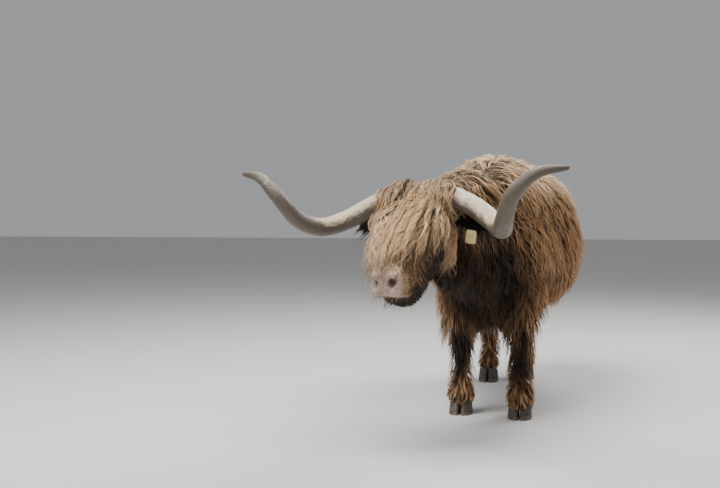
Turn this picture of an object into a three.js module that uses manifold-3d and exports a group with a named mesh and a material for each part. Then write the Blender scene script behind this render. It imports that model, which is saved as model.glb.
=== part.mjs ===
// A highland cow, life size, standing with its head low and turned to its right.
// Millimetres, +Z up. The cow faces -Y, its left side is +X, and its soles stand on z = 0.
// The solids reach to the tips of the coat, so each one is the body part with its hair.

import * as THREE from "three";
import { mergeVertices } from "three/addons/utils/BufferGeometryUtils.js";
import Module from "manifold-3d";

const wasm = await Module();
wasm.setup();

// ---- Driving dimensions -------------------------------------------------------------------

const withersHeight = 1158;
const backHeight = 1140;
const barrelWidth = 812;
const bellyHeight = 388;
const chestWidth = 490;
const foreFeetApart = 262;
const hindFeetApart = 180;
const wheelbase = 985; // from the fore soles to the hind soles
const rumpY = 1238; // the back of the thighs

const headLength = 458; // horn roots to the front of the muzzle
const headPitch = 41; // degrees, nose down
const headYaw = -16.5; // degrees, towards the cow's right
const hornRoots = [-200, -686, 984]; // midpoint between the horns
const hornThickness = 84; // diameter where a horn leaves the head
const eyeDiameter = 40;
const forelockWidth = 330;

const gap = 0.5; // clearance between neighbouring solids

// How far the feet are ahead of (-) or behind (+) their places in a square stance.
const stride = {
  fore: { left: -35, right: 25 },
  hind: { left: 48, right: -65 },
};

// ---- Groups -------------------------------------------------------------------------------

const degrees = THREE.MathUtils.degToRad;
const point = (x, y, z) => new THREE.Vector3(x, y, z);

// The poll group turns with the head but stays level. The face group is pitched as well:
// down the nose is -Y, out of the forehead is +Z, and the horn roots lie on its X axis.
const cow = new THREE.Group();
const poll = new THREE.Group();
const face = new THREE.Group();
cow.name = "highland_cow";
poll.position.set(...hornRoots);
poll.rotation.z = degrees(headYaw);
face.rotation.x = degrees(headPitch);
cow.add(poll);
poll.add(face);
cow.updateMatrixWorld(true);

// ---- Solids -------------------------------------------------------------------------------

/** A closed geometry with its shared vertices merged, holding positions only. */
function welded(geometry) {
  const bare = geometry.clone();
  for (const name of Object.keys(bare.attributes)) {
    if (name !== "position") bare.deleteAttribute(name);
  }
  return mergeVertices(bare, 1e-3);
}

/** The solid of a closed geometry. */
function solid(geometry) {
  return new wasm.Manifold(
    new wasm.Mesh({
      numProp: 3,
      vertProperties: new Float32Array(geometry.attributes.position.array),
      triVerts: new Uint32Array(geometry.index.array),
    }),
  );
}

/** A welded geometry pushed outwards all round. */
function swollen(geometry, distance) {
  const larger = geometry.clone();
  larger.computeVertexNormals();
  const { position, normal } = larger.attributes;
  const place = point(0, 0, 0);
  const out = point(0, 0, 0);
  for (let i = 0; i < position.count; i++) {
    place.fromBufferAttribute(position, i);
    place.addScaledVector(out.fromBufferAttribute(normal, i), distance);
    position.setXYZ(i, place.x, place.y, place.z);
  }
  return larger;
}

/** One or more closed geometries in a group, which join into one solid in the cow's frame. */
class Form {
  constructor(group, ...geometries) {
    this.geometries = geometries.map((g) => welded(g.applyMatrix4(group.matrixWorld)));
  }

  body() {
    return this.geometries.map(solid).reduce((whole, piece) => whole.add(piece));
  }

  /** The form with the gap all round it, to cut its neighbours with. */
  cutter() {
    return this.geometries
      .map((geometry) => solid(swollen(geometry, gap)))
      .reduce((whole, piece) => whole.add(piece));
  }
}

/** A body with other forms cut out of it. */
function without(body, ...forms) {
  return forms.reduce((rest, form) => rest.subtract(form.cutter()), body);
}

/** Share of full girth at t along a form whose ends are rounded over the shares of its length. */
function rounding(t, [first, last]) {
  const fromEnd = Math.min(t / first, (1 - t) / last, 1);
  return Math.sqrt(1 - (1 - fromEnd) ** 2);
}

/** A smooth curve through points, each an equal step of t from the next. */
function evenCurve(points) {
  return new THREE.CatmullRomCurve3(points, false, "catmullrom");
}

/**
 * A limb or trunk: a sphere drawn out along its stations and given their girth. A station has
 * its centre, its half width, its rise and drop from the centre towards and away from up, and
 * square, the power of its outline, which is 2 for an ellipse. Each section holds the up
 * direction and lies square across the path.
 */
function limb(stations, { up = point(0, 0, 1), around = 16, rings = 14, ends = [0.06, 0.06] }) {
  const centre = evenCurve(stations.map((s) => s.centre));
  const girth = evenCurve(stations.map((s) => point(s.half, s.rise, s.drop)));
  const squareness = evenCurve(stations.map((s) => point(s.square ?? 2, 0, 0)));
  const geometry = new THREE.SphereGeometry(1, around, rings);
  const { position } = geometry.attributes;
  for (let i = 0; i < position.count; i++) {
    const [x, y, z] = [position.getX(i), position.getY(i), position.getZ(i)];
    const t = THREE.MathUtils.clamp((1 - y) / 2, 0, 1);
    const wide = centre.getTangent(t).cross(up).normalize();
    const { x: half, y: rise, z: drop } = girth.getPoint(t);
    const full = rounding(t, ends);
    const power = 2 / squareness.getPoint(t).x;
    const across = Math.hypot(x, z) || 1;
    const toSide = Math.sign(x) * Math.abs(x / across) ** power;
    const toTop = Math.sign(-z) * Math.abs(z / across) ** power;
    const place = centre
      .getPoint(t)
      .addScaledVector(wide, toSide * half * full)
      .addScaledVector(up, toTop * (toTop > 0 ? rise : drop) * full);
    position.setXYZ(i, place.x, place.y, place.z);
  }
  return geometry;
}

/** A round bar along a curve, whose radius is a function of the share t of its length. */
function taperedBar(curve, radius, { around = 10, rings = 22, ends = [0.02, 0.03] }) {
  const steps = rings * 8;
  const { normals, binormals } = curve.computeFrenetFrames(steps, false);
  const geometry = new THREE.SphereGeometry(1, around, rings);
  const { position } = geometry.attributes;
  for (let i = 0; i < position.count; i++) {
    const [x, y, z] = [position.getX(i), position.getY(i), position.getZ(i)];
    const t = THREE.MathUtils.clamp((1 - y) / 2, 0, 1);
    const step = Math.round(t * steps);
    const reach = (radius(t) * rounding(t, ends)) / (Math.hypot(x, z) || 1);
    const place = curve
      .getPointAt(t)
      .addScaledVector(normals[step], x * reach)
      .addScaledVector(binormals[step], z * reach);
    position.setXYZ(i, place.x, place.y, place.z);
  }
  return geometry;
}

/** An ellipsoid with the given half sizes, turned by degrees about X, Y and Z, at a place. */
function ellipsoid(centre, half, turn = [0, 0, 0], around = 10, rings = 7) {
  return new THREE.SphereGeometry(1, around, rings)
    .scale(...half)
    .rotateX(degrees(turn[0]))
    .rotateY(degrees(turn[1]))
    .rotateZ(degrees(turn[2]))
    .translate(centre.x, centre.y, centre.z);
}

// ---- Trunk and neck -----------------------------------------------------------------------

/** An upright section at y, from its top to its bottom, widest at a share of its height. */
function rib(y, width, top, bottom, share = 0.45, square = 2.1, x = 0) {
  const middle = THREE.MathUtils.lerp(bottom, top, share);
  return {
    centre: point(x, y, middle),
    half: width / 2,
    rise: top - middle,
    drop: middle - bottom,
    square,
  };
}

function makeTrunk() {
  return new Form(
    cow,
    limb(
      [
        rib(-215, 0.66 * chestWidth, withersHeight - 190, bellyHeight + 82, 0.5, 2),
        rib(-120, 0.88 * chestWidth, withersHeight - 80, bellyHeight + 4, 0.5),
        rib(20, 0.98 * chestWidth, withersHeight - 16, bellyHeight - 40, 0.5),
        rib(220, 0.7 * barrelWidth, withersHeight, bellyHeight - 40, 0.46),
        rib(440, 0.87 * barrelWidth, backHeight - 2, bellyHeight - 34, 0.44, 2.2),
        rib(660, 0.98 * barrelWidth, backHeight - 10, bellyHeight - 38, 0.43, 2.2),
        rib(850, barrelWidth, backHeight + 2, bellyHeight + 8, 0.44, 2.2),
        rib(1000, 0.86 * barrelWidth, backHeight + 2, bellyHeight + 112, 0.47),
        rib(1110, 0.72 * barrelWidth, backHeight - 20, bellyHeight + 190, 0.51),
        rib(rumpY - 50, 0.6 * barrelWidth, backHeight - 52, bellyHeight + 290, 0.54, 2),
        rib(rumpY, 0.44 * barrelWidth, backHeight - 110, bellyHeight + 370, 0.55, 2),
      ],
      { around: 26, rings: 23, ends: [0.08, 0.17] },
    ),
  );
}

/** The neck, from inside the shoulders to inside the back of the head. */
function makeNeck() {
  const [pollX, pollY, pollZ] = hornRoots;
  const atHead = (share) => share ** 1.5 * pollX;
  const atY = (share) => THREE.MathUtils.lerp(40, pollY + 30, share);
  const neckRib = (share, width, top, bottom) =>
    rib(atY(share), width, top, bottom, 0.5, 2.1, atHead(share));
  return new Form(
    cow,
    limb(
      [
        neckRib(0, 0.92 * chestWidth, withersHeight - 24, bellyHeight + 66),
        neckRib(0.24, 0.88 * chestWidth, withersHeight - 32, bellyHeight + 56),
        neckRib(0.46, 0.72 * chestWidth, pollZ + 106, bellyHeight + 116),
        neckRib(0.66, 0.58 * chestWidth, pollZ + 80, bellyHeight + 182),
        neckRib(0.86, 0.5 * chestWidth, pollZ + 50, bellyHeight + 244),
        neckRib(1, 0.42 * chestWidth, pollZ + 24, bellyHeight + 330),
      ],
      { around: 18, rings: 11, ends: [0.1, 0.12] },
    ),
  );
}

// ---- Head ---------------------------------------------------------------------------------

const nose = -headLength;
const muzzleHalf = 64;
const eyePlace = [94, -146, -60];
const mouthLine = -120; // of the face's Z, where the lips meet at the front

/** A section of the head at y along the face, from its top line to its lower line. */
function slice(y, half, top, bottom, share = 0.5, square = 2.4) {
  return rib(y, 2 * half, top, bottom, share, square);
}

function makeHead() {
  const skull = limb(
    [
      slice(nose, 0.92 * muzzleHalf, -30, -162, 0.5, 2.5),
      slice(nose + 36, 1.04 * muzzleHalf, -15, -212, 0.55, 2.5),
      slice(nose + 98, 0.98 * muzzleHalf, -6, -274, 0.6),
      slice(nose + 168, 1.12 * muzzleHalf, -2, -312, 0.64),
      slice(nose + 250, 1.46 * muzzleHalf, 0, -322, 0.66),
      slice(nose + 330, 1.72 * muzzleHalf, 6, -312, 0.66),
      slice(nose + 414, 1.76 * muzzleHalf, 12, -272, 0.64),
      slice(nose + 508, 1.5 * muzzleHalf, -8, -190, 0.55),
    ],
    { around: 18, rings: 16, ends: [0.07, 0.1] },
  );
  const [eyeX, eyeY, eyeZ] = eyePlace;
  const pairs = [-1, 1].flatMap((side) => {
    const brow = point(side * (eyeX - 12), eyeY + 4, eyeZ + 6);
    const wing = point(side * 34, nose + 34, -44);
    const lip = point(side * 34, nose + 16, -98);
    return [
      ellipsoid(brow, [32, 44, 34]),
      ellipsoid(wing, [28, 36, 24], [0, 0, 8 * side]),
      ellipsoid(lip, [38, 47, 41]),
    ];
  });
  return new Form(face, skull, ...pairs);
}

/** The hollows of the two nostrils. */
function makeNostrils() {
  const hollows = [-1, 1].map((side) =>
    ellipsoid(point(37 * side, nose + 4, -54), [9, 22, 13], [-20, 28 * side, 24 * side], 8, 6),
  );
  return new Form(face, ...hollows);
}

/** All that is below the mouth: the side view of the lower jaw, carried right across the head. */
function makeJawRegion() {
  const halfAcross = 160;
  const outline = new THREE.Shape();
  outline.moveTo(nose - 60, mouthLine + 30);
  outline.quadraticCurveTo(nose + 20, mouthLine - 22, nose + 150, mouthLine - 8);
  outline.quadraticCurveTo(nose + 260, mouthLine - 20, nose + 320, mouthLine - 46);
  outline.lineTo(nose + 375, mouthLine - 200);
  outline.lineTo(nose - 60, mouthLine - 200);
  outline.closePath();
  const region = new THREE.ExtrudeGeometry(outline, {
    depth: 2 * halfAcross,
    bevelEnabled: false,
    curveSegments: 4,
  });
  // The outline is drawn along the face's Y and Z, and carried along its X.
  const across = new THREE.Matrix4()
    .makeBasis(point(0, 1, 0), point(0, 0, 1), point(1, 0, 0))
    .setPosition(-halfAcross, 0, 0);
  return new Form(face, region.applyMatrix4(across));
}

function makeEye(side) {
  const [x, y, z] = eyePlace;
  const half = eyeDiameter / 2;
  return new Form(face, ellipsoid(point(side * x, y, z), [half, half, half]));
}

/** A horn sweeps out and forward, dips, then rises and points outwards again. */
function makeHorn(side) {
  // Each is how far out, forward and up it is from the midpoint between the horns.
  const path = [
    [60, -3, -18],
    [108, -6, -32],
    [210, 3, -74],
    [300, 45, -126],
    [368, 128, -153],
    [413, 222, -120],
    [461, 280, -40],
    [542, 276, 32],
    [647, 243, 52],
  ];
  const curve = new THREE.CatmullRomCurve3(
    path.map(([out, forward, up]) => point(side * out, -forward, up)),
  );
  const radius = (t) => (hornThickness / 2) * (1 - 0.3 * t) * (1 - 0.74 * t ** 5);
  return new Form(poll, taperedBar(curve, radius, {}));
}

/** An ear, hung with hair, from the side of the head outwards and a little down. */
function makeEar(side) {
  const station = (out, forward, up, half, rise, drop) => ({
    centre: point(side * out, -forward, up),
    half,
    rise,
    drop,
  });
  return new Form(
    poll,
    limb(
      [
        station(70, -30, -98, 22, 28, 34),
        station(120, -38, -108, 25, 40, 74),
        station(180, -40, -122, 22, 46, 112),
        station(236, -34, -144, 17, 42, 104),
        station(282, -24, -170, 10, 24, 54),
      ],
      { around: 12, rings: 9, ends: [0.12, 0.18] },
    ),
  );
}

/** A blank tag that hangs on the front of the left ear. */
function makeEarTag() {
  const [width, thickness, height] = [46, 3, 50];
  const plate = new THREE.BoxGeometry(width, thickness, height);
  plate.rotateY(degrees(6)).rotateZ(degrees(-12)).translate(200, -2, -186);
  return new Form(poll, plate);
}

/** The long hair that falls from the poll over the forehead and eyes. */
function makeForelock() {
  const half = forelockWidth / 2;
  const hood = limb(
    [
      slice(55, 0.42 * half, 14, -70, 0.5, 2),
      slice(0, 0.72 * half, 34, -120, 0.5, 2.2),
      slice(-75, 0.92 * half, 46, -170, 0.5, 2.2),
      slice(-155, half, 52, -215, 0.5, 2.2),
      slice(-235, 0.98 * half, 54, -240, 0.5, 2.2),
      slice(-310, 0.84 * half, 42, -240, 0.5, 2.2),
      slice(-375, 0.62 * half, 26, -215, 0.5, 2.2),
      slice(-420, 0.42 * half, 4, -190, 0.5, 2),
    ],
    { around: 20, rings: 14, ends: [0.1, 0.06] },
  );
  return new Form(face, hood);
}

/** The room for the head inside the forelock. */
function makeForelockLining() {
  const lining = limb(
    [
      slice(nose - 40, 1.1 * muzzleHalf, -8, -260, 0.6, 2.6),
      slice(nose + 40, 1.2 * muzzleHalf, 4, -280, 0.6, 2.6),
      slice(nose + 140, 1.26 * muzzleHalf, 9, -300, 0.6, 2.6),
      slice(nose + 240, 1.72 * muzzleHalf, 13, -320, 0.64, 2.6),
      slice(nose + 330, 2.06 * muzzleHalf, 19, -320, 0.64, 2.6),
      slice(nose + 430, 1.98 * muzzleHalf, 23, -300, 0.62, 2.6),
      slice(nose + 560, 1.66 * muzzleHalf, 12, -260, 0.55, 2.6),
    ],
    { around: 16, rings: 11, ends: [0.05, 0.05] },
  );
  return new Form(face, lining);
}

/** The open space below the ends of the forelock. */
function makeForelockOpening() {
  const space = new THREE.BoxGeometry(500, 760, 300);
  space.rotateX(degrees(-30)).translate(0, -230, -326);
  return new Form(face, space);
}

// ---- Legs ---------------------------------------------------------------------------------

/** A level section of a leg: its width, and its reach to the front and back of its centre. */
function level(x, y, z, width, front, back) {
  return { centre: point(x, y, z), half: width / 2, rise: back, drop: front };
}

const backwards = point(0, 1, 0);

function makeForeLeg(side) {
  const footX = (side * foreFeetApart) / 2;
  const footY = stride.fore[side > 0 ? "left" : "right"];
  const out = (distance) => footX + side * distance;
  return new Form(
    cow,
    limb(
      [
        level(out(2), 60, 930, 180, 130, 150),
        level(out(14), 40, 800, 216, 178, 200),
        level(out(16), 26, 660, 220, 150, 172),
        level(out(12), 12 + 0.3 * footY, 520, 196, 108, 116),
        level(out(2), 0.8 * footY, 370, 136, 70, 76),
        level(out(0), footY, 270, 108, 56, 62),
        level(out(0), footY + 6, 170, 98, 48, 58),
        level(out(0), footY + 2, 95, 122, 62, 76),
        level(out(0), footY - 8, 30, 134, 80, 78),
      ],
      { up: backwards, around: 12, rings: 16, ends: [0.1, 0.05] },
    ),
  );
}

function makeHindLeg(side) {
  const footX = (side * hindFeetApart) / 2;
  const footY = wheelbase + stride.hind[side > 0 ? "left" : "right"];
  const out = (distance) => footX + side * distance;
  const follow = (share) => THREE.MathUtils.lerp(wheelbase, footY, share);
  return new Form(
    cow,
    limb(
      [
        level(out(72), follow(0) + 20, 1010, 220, 130, 120),
        level(out(88), follow(0.05) + 16, 890, 292, 216, 206),
        level(out(92), follow(0.15) + 14, 770, 306, 232, 236),
        level(out(84), follow(0.25) + 14, 660, 294, 208, 238),
        level(out(62), follow(0.45) + 36, 556, 238, 154, 188),
        level(out(36), follow(0.75) + 68, 450, 164, 98, 108),
        level(out(16), follow(0.95) + 84, 370, 112, 64, 74),
        level(out(4), follow(1) + 72, 260, 98, 50, 56),
        level(out(0), follow(1) + 60, 160, 100, 52, 60),
        level(out(0), follow(1) + 38, 90, 122, 62, 76),
        level(out(0), follow(1) + 16, 30, 134, 80, 78),
      ],
      { up: backwards, around: 12, rings: 18, ends: [0.07, 0.05] },
    ),
  );
}

/** One claw of a cloven hoof, whose inner face is at x: out is the way its outer wall faces. */
function makeClaw(x, y, out) {
  const [width, toe, heel, height] = [50, -64, 54, 74];
  const sole = new THREE.Shape();
  sole.moveTo(0, heel - 8);
  sole.lineTo(0, toe + 14);
  sole.quadraticCurveTo(out * 4, toe, out * 16, toe);
  sole.quadraticCurveTo(out * width, toe + 12, out * width, toe + 66);
  sole.lineTo(out * (width - 3), heel - 18);
  sole.quadraticCurveTo(out * (width - 12), heel, out * 20, heel);
  sole.closePath();
  const claw = new THREE.ExtrudeGeometry(sole, {
    depth: 1,
    bevelEnabled: false,
    curveSegments: 3,
  });
  // The wall leans back at the toe, and the coronet falls towards the heel.
  const { position } = claw.attributes;
  for (let i = 0; i < position.count; i++) {
    const toFront = THREE.MathUtils.inverseLerp(heel, toe, position.getY(i));
    const up = position.getZ(i);
    position.setX(i, position.getX(i) * (1 - 0.1 * up));
    position.setY(i, position.getY(i) + 44 * up * toFront);
    position.setZ(i, height * up * THREE.MathUtils.lerp(0.62, 1, toFront));
  }
  return new Form(cow, claw.translate(x, y, 0));
}

// ---- Tail and udder -----------------------------------------------------------------------

function makeTail() {
  const station = (x, y, z, width, depth) => ({
    centre: point(x, y, z),
    half: depth / 2,
    rise: width / 2,
    drop: width / 2,
  });
  return new Form(
    cow,
    limb(
      [
        station(0, rumpY - 150, backHeight - 78, 84, 84),
        station(0, rumpY - 70, backHeight - 74, 82, 82),
        station(1, rumpY + 4, backHeight - 112, 76, 76),
        station(3, rumpY + 36, 920, 68, 68),
        station(6, rumpY + 42, 800, 66, 66),
        station(8, rumpY + 40, 680, 68, 68),
        station(8, rumpY + 40, 560, 92, 88),
        station(6, rumpY + 42, 440, 118, 110),
        station(2, rumpY + 40, 320, 100, 96),
        station(0, rumpY + 38, 225, 40, 40),
      ],
      { up: point(1, 0, 0), around: 12, rings: 17, ends: [0.05, 0.1] },
    ),
  );
}

/** The part of the tail that is the long switch of hair. */
function makeSwitchRegion() {
  const [across, top] = [400, 610];
  return new Form(cow, new THREE.BoxGeometry(across, across, top).translate(0, rumpY, top / 2));
}

function makeUdder() {
  const [y, z] = [wheelbase - 190, 448];
  const bag = ellipsoid(point(0, y, z), [78, 105, 82]);
  const teats = [-1, 1].flatMap((side) =>
    [-1, 1].map((end) =>
      ellipsoid(point(38 * side, y + 46 * end, z - 76), [10, 10, 30], [0, 0, 0], 6, 5),
    ),
  );
  return new Form(cow, bag, ...teats);
}

// ---- The whole cow ------------------------------------------------------------------------

const coat = { color: 0x9c6a3d, roughness: 0.95, metalness: 0 };
const forelockHair = { color: 0xb58450, roughness: 0.9, metalness: 0 };
const hornSheath = { color: 0xd6c8ab, roughness: 0.42, metalness: 0 };
const hoofHorn = { color: 0x3b322a, roughness: 0.6, metalness: 0 };
const cornea = { color: 0x1b120d, roughness: 0.06, metalness: 0 };
const bareSkin = { color: 0xc39a86, roughness: 0.8, metalness: 0 };
const tagPlastic = { color: 0xdcb850, roughness: 0.5, metalness: 0 };

/** Adds a body to a group as a named mesh, leaving out any sliver that a cut has freed. */
function add(group, name, body, finish) {
  const whole = body.decompose().reduce((a, b) => (b.volume() > a.volume() ? b : a));
  const { numProp, numVert, vertProperties, triVerts } = whole.getMesh();
  const places = new Float32Array(3 * numVert);
  for (let i = 0; i < numVert; i++) {
    places.set(vertProperties.subarray(i * numProp, i * numProp + 3), 3 * i);
  }
  const geometry = new THREE.BufferGeometry();
  geometry.setAttribute("position", new THREE.BufferAttribute(places, 3));
  geometry.setIndex(new THREE.BufferAttribute(triVerts, 1));
  geometry.applyMatrix4(group.matrixWorld.clone().invert());
  geometry.computeVertexNormals();
  const mesh = new THREE.Mesh(geometry, new THREE.MeshStandardMaterial(finish));
  mesh.name = name;
  group.add(mesh);
}

/** One of each for the left and the right side. */
function pair(make) {
  return { left: make(1), right: make(-1) };
}

const trunk = makeTrunk();
const neck = makeNeck();
const head = makeHead();
const tail = makeTail();
const udder = makeUdder();
const horns = pair(makeHorn);
const ears = pair(makeEar);
const eyes = pair(makeEye);
const foreLegs = pair(makeForeLeg);
const hindLegs = pair(makeHindLeg);

function addBody() {
  add(cow, "trunk", trunk.body(), coat);
  add(cow, "neck", without(neck.body(), trunk, head), coat);
  add(cow, "udder", without(udder.body(), trunk, hindLegs.left, hindLegs.right), bareSkin);
  const switchRegion = makeSwitchRegion();
  const wholeTail = without(tail.body(), trunk, hindLegs.left, hindLegs.right);
  add(cow, "tail", without(wholeTail, switchRegion), coat);
  add(cow, "tail_switch", wholeTail.intersect(switchRegion.body()), coat);
}

function addHead() {
  const jawRegion = makeJawRegion();
  const tag = makeEarTag();
  const skull = without(head.body(), makeNostrils(), eyes.left, eyes.right);
  add(face, "head", without(skull, jawRegion), coat);
  add(face, "lower_jaw", skull.intersect(jawRegion.body()), coat);
  for (const side of ["left", "right"]) {
    add(face, `eye_${side}`, eyes[side].body(), cornea);
    add(poll, `horn_${side}`, without(horns[side].body(), head), hornSheath);
    add(poll, `ear_${side}`, without(ears[side].body(), head, neck, trunk, horns[side]), coat);
  }
  add(poll, "ear_tag", without(tag.body(), ears.left), tagPlastic);
  const pairs = [horns, ears].flatMap((both) => [both.left, both.right]);
  const inside = [makeForelockLining(), makeForelockOpening(), neck];
  add(face, "forelock", without(makeForelock().body(), ...inside, tag, ...pairs), forelockHair);
}

/** A leg and the two claws of its hoof. */
function addLeg(name, form, x, y, side) {
  const cleft = 3; // half the space between the claws
  const claws = {
    outer: makeClaw(x + side * cleft, y, side),
    inner: makeClaw(x - side * cleft, y, -side),
  };
  add(cow, name, without(form.body(), trunk, neck, claws.outer, claws.inner), coat);
  for (const [place, claw] of Object.entries(claws)) {
    add(cow, `${name}_${place}_claw`, claw.body(), hoofHorn);
  }
}

addBody();
addHead();
for (const [name, side] of [["left", 1], ["right", -1]]) {
  const foreY = stride.fore[name] - 12;
  const hindY = wheelbase + stride.hind[name] + 12;
  addLeg(`fore_leg_${name}`, foreLegs[name], (side * foreFeetApart) / 2, foreY, side);
  addLeg(`hind_leg_${name}`, hindLegs[name], (side * hindFeetApart) / 2, hindY, side);
}

// The origin is on the floor, at the middle of the cow's box.
const box = new THREE.Box3().setFromObject(cow, true);
const middle = box.getCenter(point(0, 0, 0));
cow.position.set(-middle.x, -middle.y, -box.min.z);

export default cow;
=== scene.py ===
"""The looks of a life-size highland cow: skin, shaggy coat, horns, hooves, eyes and ear tag.

Metres, +Z up. The cow faces -Y, its left side is +X, and its soles stand on z = 0.
"""

from __future__ import annotations

import logging
import math
from collections.abc import Callable, Iterator, Sequence
from contextlib import contextmanager
from dataclasses import dataclass, field, replace
from enum import Enum

import bmesh
import bpy
import numpy as np
import openvdb as vdb
from bpy.types import Material, Mesh, Node, NodeSocket, NodeTree, Object
from mathutils import Matrix, Vector
from mathutils.kdtree import KDTree


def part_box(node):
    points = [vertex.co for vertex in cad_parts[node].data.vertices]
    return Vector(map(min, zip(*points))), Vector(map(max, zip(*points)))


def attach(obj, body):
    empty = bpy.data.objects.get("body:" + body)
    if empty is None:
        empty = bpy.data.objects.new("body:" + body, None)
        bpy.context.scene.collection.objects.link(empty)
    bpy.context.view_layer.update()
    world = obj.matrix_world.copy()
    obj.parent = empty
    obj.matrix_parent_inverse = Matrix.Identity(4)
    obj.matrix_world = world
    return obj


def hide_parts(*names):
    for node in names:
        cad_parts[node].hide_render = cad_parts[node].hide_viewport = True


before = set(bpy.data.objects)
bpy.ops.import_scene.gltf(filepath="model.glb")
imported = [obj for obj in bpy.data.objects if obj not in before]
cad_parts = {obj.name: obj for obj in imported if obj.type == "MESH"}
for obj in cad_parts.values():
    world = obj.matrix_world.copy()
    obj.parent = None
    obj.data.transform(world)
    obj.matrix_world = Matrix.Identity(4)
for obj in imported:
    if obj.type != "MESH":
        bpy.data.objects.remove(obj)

log = logging.getLogger("highland_cow")

Array = np.ndarray
Triple = tuple[float, float, float]
Colour = Triple
BAKE_MAP = "OFBake"
BODY = "root"
UP = np.array([0.0, 0.0, 1.0])
PATCH_HALF = 0.0015


# ---- Small helpers ----


def ease(low: float, high: float, values: Array) -> Array:
    """Eases from 0 where values are low to 1 where they are high. Low may exceed high."""
    share = np.clip((values - low) / (high - low), 0.0, 1.0)
    return share * share * (3.0 - 2.0 * share)


def mixed(a: Array | float, b: Array | float, share: Array) -> Array:
    """Goes from a where share is 0 to b where it is 1."""
    return a + (b - a) * share


def unit(vectors: Array) -> Array:
    """Scales each vector to a length of 1."""
    return vectors / np.maximum(np.linalg.norm(vectors, axis=-1, keepdims=True), 1e-9)


def dot(a: Array, b: Array) -> Array:
    """Multiplies the vectors of a and b, pair by pair, and keeps the last axis."""
    return np.sum(a * b, axis=-1, keepdims=True)


def node_box(name: str) -> tuple[Array, Array]:
    """Reads the low and the high corner of a node's box."""
    low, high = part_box(name)
    return np.array(low), np.array(high)


def node_middle(name: str) -> Array:
    """Finds the middle of a node's box."""
    return np.mean(node_box(name), axis=0)


def read_rows(items: Sequence[object], name: str, width: int = 3, kind: type = float) -> Array:
    """Reads a property of each item of a mesh.

    Args:
        items: The mesh's own list, such as its vertices.
        name: The property.
        width: How many numbers it has.
        kind: Whether they are float or int.

    Returns:
        One row for each item.
    """
    flat = np.empty(width * len(items), np.float32 if kind is float else np.int32)
    items.foreach_get(name, flat)
    return flat.reshape(-1, width).astype(kind)


def mesh_points(mesh: Mesh) -> Array:
    """Reads a mesh's points, one row for each."""
    return read_rows(mesh.vertices, "co")


def set_mesh_points(mesh: Mesh, points: Array) -> None:
    """Writes a mesh's points."""
    mesh.vertices.foreach_set("co", points.astype(np.float32).ravel())
    mesh.update()


def mesh_triangles(mesh: Mesh) -> Array:
    """Reads a mesh's triangles as rows of three point numbers."""
    mesh.calc_loop_triangles()
    return read_rows(mesh.loop_triangles, "vertices", kind=int)


@contextmanager
def edited(mesh: Mesh) -> Iterator[bmesh.types.BMesh]:
    """Opens a mesh for editing, and writes it back afterwards.

    Args:
        mesh: The mesh.

    Yields:
        What is edited.
    """
    work = bmesh.new()
    work.from_mesh(mesh)
    yield work
    work.to_mesh(mesh)
    work.free()


def placed(name: str, data: bpy.types.ID) -> Object:
    """Puts an object in the scene, at the origin.

    Args:
        name: The object's name.
        data: Its mesh, lamp or camera.

    Returns:
        The object.
    """
    item = bpy.data.objects.new(name, data)
    bpy.context.scene.collection.objects.link(item)
    return item


def new_object(name: str, mesh: Mesh) -> Object:
    """Puts a mesh in the scene, smooth-shaded."""
    mesh.shade_smooth()
    return placed(name, mesh)


def add_values(mesh: Mesh, name: str, values: Array) -> None:
    """Adds a number to each of a mesh's points."""
    layer = mesh.attributes.new(name, "FLOAT", "POINT")
    layer.data.foreach_set("value", values.astype(np.float32))


def add_vectors(mesh: Mesh, name: str, vectors: Array) -> None:
    """Adds a vector to each of a mesh's points."""
    layer = mesh.attributes.new(name, "FLOAT_VECTOR", "POINT")
    layer.data.foreach_set("vector", vectors.astype(np.float32).ravel())


def add_bake_map(mesh: Mesh, places: Array) -> None:
    """Adds the bake map, from each point's place on it."""
    loops = read_rows(mesh.loops, "vertex_index", 1, int)[:, 0]
    unwrap = mesh.uv_layers.new(name=BAKE_MAP)
    unwrap.data.foreach_set("uv", np.clip(places[loops], 0, 1).astype(np.float32).ravel())


def finish_piece(piece: Object, material: Material, slot: str, *nodes: str) -> None:
    """Dresses a piece and ties it to the frame.

    Args:
        piece: The finished object.
        material: Its only material.
        slot: Not used.
        *nodes: The frame's nodes that the piece stands for.
    """
    piece.data.materials.clear()
    piece.data.materials.append(material)
    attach(piece, BODY)
    if nodes:
        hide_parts(*nodes)
    piece.data.calc_loop_triangles()
    log.info("%s: %d triangles", piece.name, len(piece.data.loop_triangles))


# ---- The frame's places ----


def turn_about(axis: str, angle: float) -> Array:
    """Makes the 3x3 matrix of a turn about an axis."""
    return np.array(Matrix.Rotation(angle, 3, axis))


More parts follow.
